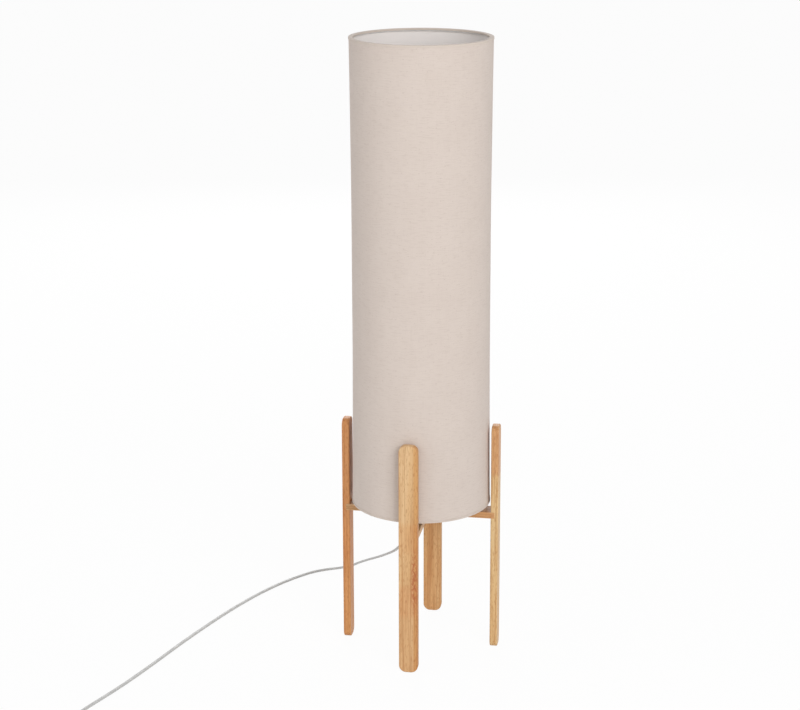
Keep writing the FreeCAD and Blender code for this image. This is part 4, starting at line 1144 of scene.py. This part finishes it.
    def extruded(self, route: list[Vector], flat: bool) -> bmesh.types.BMesh:
        """The flat section drawn along a route.

        Args:
            route: Points along the line.
            flat: Whether the wide side lies level; if not, it stands upright.

        Returns:
            The closed tube, with a UV map in metres along and round it.
        """
        mesh = bmesh.new()
        layer = mesh.loops.layers.uv.new("UVMap")
        frames = self.frames(route, flat)
        corners = [mesh.verts.new((a, b, 0.0)) for a, b in self.section()]
        edges = [mesh.edges.new(pair) for pair in zip(corners, corners[1:] + corners[:1])]
        bmesh.ops.transform(mesh, matrix=frames[0], verts=corners)
        bmesh.ops.contextual_create(mesh, geom=edges)
        last, ring, along = frames[0], edges, 0.0
        girth = 2 * (self.width + self.thickness)
        for before, here, now in zip(route, route[1:], frames[1:]):
            new = bmesh.ops.extrude_edge_only(mesh, edges=ring)["geom"]
            moved = [g for g in new if isinstance(g, bmesh.types.BMVert)]
            bmesh.ops.transform(mesh, matrix=now @ last.inverted(), verts=moved)
            reached = along + (here - before).length
            ahead = set(moved)
            for face in (g for g in new if isinstance(g, bmesh.types.BMFace)):
                local = [now.inverted() @ v.co for v in face.verts if v in ahead]
                base = math.atan2(sum(p.y for p in local), sum(p.x for p in local))
                for loop in face.loops:
                    forward = loop.vert in ahead
                    spot = (now if forward else last).inverted() @ loop.vert.co
                    angle = near_turn(math.atan2(spot.y, spot.x), base)
                    loop[layer].uv = (reached if forward else along, angle / TURN * girth)
            ring = [g for g in new if isinstance(g, bmesh.types.BMEdge)
                    and all(v in ahead for v in g.verts)]
            last, along = now, reached
        bmesh.ops.contextual_create(mesh, geom=ring)
        bmesh.ops.recalc_face_normals(mesh, faces=mesh.faces)
        return mesh

    def frames(self, route: list[Vector], flat: bool) -> list[Matrix]:
        """The section's place and turn at each point of a route.

        Args:
            route: Points along the line.
            flat: Whether the wide side lies level.

        Returns:
            The matrices.
        """
        ways = [(b - a).normalized() for a, b in zip(route, route[1:])]
        bends = [(a + b).normalized() for a, b in zip(ways, ways[1:])]
        tangents = [ways[0], *bends, ways[-1]]
        levels = [UP.cross(t) for t in tangents]
        first = next(level for level in levels if level.length > self.steep)
        places = []
        for point, tangent, level in zip(route, tangents, levels):
            wide = level if level.length > self.steep else first
            wide = (wide - tangent * wide.dot(tangent)).normalized()
            if not flat:
                wide = tangent.cross(wide)
            turn = Matrix((wide, tangent.cross(wide), tangent)).transposed().to_4x4()
            places.append(Matrix.Translation(point) @ turn)
        return places

    def ribbed_relief(self, node: str, tip: Vector, heading: Vector) -> bpy.types.Object:
        """A tapered strain relief with rings cut round it.

        Args:
            node: The CAD node that it stands for.
            tip: Where the cord comes out of it.
            heading: The direction from the tip to the fitting.

        Returns:
            The new piece.
        """
        length, base, end = self.relief, self.relief_base, self.relief_tip
        outline = [(0.0, 0.0), (end - self.tip_chamfer, 0.0), (end, self.tip_chamfer)]
        pitch = (length - self.ringless) / self.relief_rings
        for k in range(self.relief_rings):
            for offset, dip in self.ring_outline:
                at = self.first_ring + pitch * k + offset
                outline.append((end + (base - end) * at / length - dip, at))
        outline += [(base, length - self.collar), (base, length), (0.0, length)]
        mesh = turned(outline, self.relief_steps, closed=False)
        soften(mesh, 0.12 * MM, 35.0, 1)
        turn = UP.rotation_difference(heading).to_matrix().to_4x4()
        bmesh.ops.transform(mesh, matrix=Matrix.Translation(tip) @ turn, verts=mesh.verts)
        return publish(node + "_ribbed", mesh, self.grey, "cord_grey", node)

    def button_spring(self, steel: bpy.types.Material) -> bpy.types.Object:
        """The spring under the button, at its CAD length on a mesh of its own; in use it shortens by the
        button's stroke.

        Args:
            steel: Its finish.

        Returns:
            The new piece.
        """
        mesh = bmesh.new()
        mesh.from_mesh(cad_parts["switch_spring"].data)
        bmesh.ops.remove_doubles(mesh, verts=mesh.verts, dist=1e-6)
        spring = publish("button_spring", mesh, steel, "steel", "switch_spring")
        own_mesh(spring)
        return spring

    def build(self) -> None:
        """Makes the cord in its two lengths with what is on them."""
        run_route = self.follow("flex_run", self.run_line())
        run = publish("flex_run", self.extruded(run_route, True), self.sheath, "cord_grey", "cord_run")
        lead_route = self.follow("flex_lead", self.lead_line())
        lead = publish("flex_lead", self.extruded(lead_route, False), self.sheath, "cord_grey",
                       "cord_lead", "cord_coil", "cord_tail")
        heading = (self.switch_point(1.0) - self.switch_point(0.0)).normalized()
        _, inlet, outlet, plug_relief = (self.ribbed_relief(*relief) for relief in (
            ("lamp_strain_relief", self.exit, -self.away),
            ("switch_inlet_relief", run_route[-1], heading),
            ("switch_outlet_relief", lead_route[0], -heading),
            ("plug_strain_relief", lead_route[-1], Vector((0, 1, 0))),
        ))
        steel = Metal("switch_steel", (0.58, 0.58, 0.60), 0.30).material()
        spring = self.button_spring(steel)
        dress(self.grey, "cord_grip", "switch_base", "switch_cover", "plug_body")
        dress(steel, "switch_screws")
        for node, finish in (
            ("switch_button", Moulded("button_grey", (0.42, 0.42, 0.41), 0.40, 0.04 * MM)),
            ("switch_contacts", Metal("switch_brass", (0.72, 0.52, 0.23), 0.30)),
            ("plug_pin_sleeves", Moulded("pin_sleeve_black", (0.035, 0.035, 0.037), 0.35)),
            ("plug_pins", Metal("pin_nickel", (0.70, 0.69, 0.66), 0.20)),
            ("coil_tie", Moulded("tie_black", (0.022, 0.022, 0.024), 0.92, 0.4 * MM, 1400.0)),
        ):
            dress(finish.material(), node)


# ---------------------------------------------------------------- studio


@dataclass
class Studio:
    """The white sweep, the soft lamps and the camera at the photograph's angle."""

    azimuth: float = math.radians(9.336)
    distance: float = 2.9
    height: float = 1.3426
    pitch: float = math.radians(14.1077)
    focal: float = 86.34
    shift: Point2 = (-0.0265, -0.1)
    paper: Colour = (0.90, 0.90, 0.90)
    mottle: Colour = (0.8, 0.8, 0.8)
    white_share: float = 0.95
    surround: float = 0.44
    aim: Point = (0.0, 0.0, 0.5)
    floor_drop: float = 0.2 * MM

    CLOUDS = Pattern((3, 3, 3))

    def camera(self) -> None:
        """Places the camera."""
        data = bpy.data.cameras.new("camera")
        data.sensor_width = 36.0
        data.lens = self.focal
        data.shift_x, data.shift_y = self.shift
        data.clip_end = 100.0
        camera = placed("camera", data)
        camera.location = (self.distance * math.sin(self.azimuth),
                           -self.distance * math.cos(self.azimuth), self.height)
        camera.rotation_euler = (math.pi / 2 - self.pitch, 0.0, self.azimuth)
        bpy.context.scene.camera = camera

    def seen(self, graph: Graph) -> Socket:
        """1 where a ray comes from the camera, a reflection or through glass.

        Args:
            graph: The graph that asks.

        Returns:
            The number, 0 or 1.
        """
        path = graph.add("ShaderNodeLightPath").outputs
        direct = graph.calc("ADD", path["Is Camera Ray"], path["Is Glossy Ray"])
        return graph.calc("ADD", direct, path["Is Transmission Ray"], True)

    def sweep(self) -> None:
        """The pale floor, whose own colour fades to white for the camera but keeps the shadow."""
        graph = Graph("paper_sweep")
        clouds = graph.speckle(graph.solid(), self.CLOUDS)
        colour = graph.stain(self.paper, self.mottle, (clouds, 0.3, 0.7, 0.03))
        paper = graph.add("ShaderNodeBsdfPrincipled", {"Base Color": colour, "Roughness": 0.9})
        white = graph.add("ShaderNodeEmission", {"Color": (*WHITE, 1.0), "Strength": 1.0})
        share = graph.calc("MULTIPLY", self.seen(graph), self.white_share)
        mixed = graph.add("ShaderNodeMixShader", {0: share, 1: paper.outputs[0], 2: white.outputs[0]})
        graph.add("ShaderNodeOutputMaterial", {"Surface": mixed.outputs[0]})
        mesh = bmesh.new()
        bmesh.ops.create_grid(mesh, x_segments=8, y_segments=8, size=12.0)
        bmesh.ops.translate(mesh, verts=mesh.verts, vec=(0, 0, -self.floor_drop))
        data = bpy.data.meshes.new("floor")
        mesh.to_mesh(data)
        mesh.free()
        data.materials.append(graph.owner)
        placed("floor", data)

    def world(self) -> None:
        """An even white surround that the camera sees as plain white."""
        graph = Graph("studio", world=True)
        inputs = {"Value": self.seen(graph), "To Min": self.surround, "To Max": 1.0}
        power = graph.add("ShaderNodeMapRange", inputs).outputs[0]
        light = graph.add("ShaderNodeBackground", {"Color": (*WHITE, 1.0), "Strength": power})
        graph.add("ShaderNodeOutputWorld", {"Surface": light.outputs[0]})
        bpy.context.scene.world = graph.owner

    def lamp(self, name: str, place: Point, size: float, power: float) -> None:
        """A soft square lamp that points at the middle of the column.

        Args:
            name: Its name.
            place: Where it hangs.
            size: Its side, in metres.
            power: Its power, in watts.
        """
        data = bpy.data.lights.new(name, "AREA")
        data.shape, data.size, data.energy = "SQUARE", size, power
        lamp = placed(name, data)
        lamp.location = place
        toward = Vector(self.aim) - Vector(place)
        lamp.rotation_euler = toward.to_track_quat("-Z", "Y").to_euler()

    def build(self) -> None:
        """Sets the camera, floor, surround and lamps, and plain colour management."""
        bpy.context.scene.view_settings.view_transform = "Standard"
        self.camera()
        self.sweep()
        self.world()
        self.lamp("key", (1.9, -2.7, 1.9), 1.8, 63.0)
        self.lamp("fill", (-2.8, -1.6, 1.4), 2.2, 24.0)
        self.lamp("back", (-0.7, 3.2, 1.7), 2.2, 42.0)


# ---------------------------------------------------------------- the whole lamp


def main() -> None:
    """Builds the studio, the flex and the lamp's parts in order."""
    logging.basicConfig(level=logging.INFO, format="%(name)s: %(message)s")
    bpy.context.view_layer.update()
    for part in (Studio(), Flex(), Stand(), DrumShade(), Lampholder(), Bulb()):
        LOG.info("building %s", type(part).__name__)
        part.build()


if __name__ == "__main__":
    main()
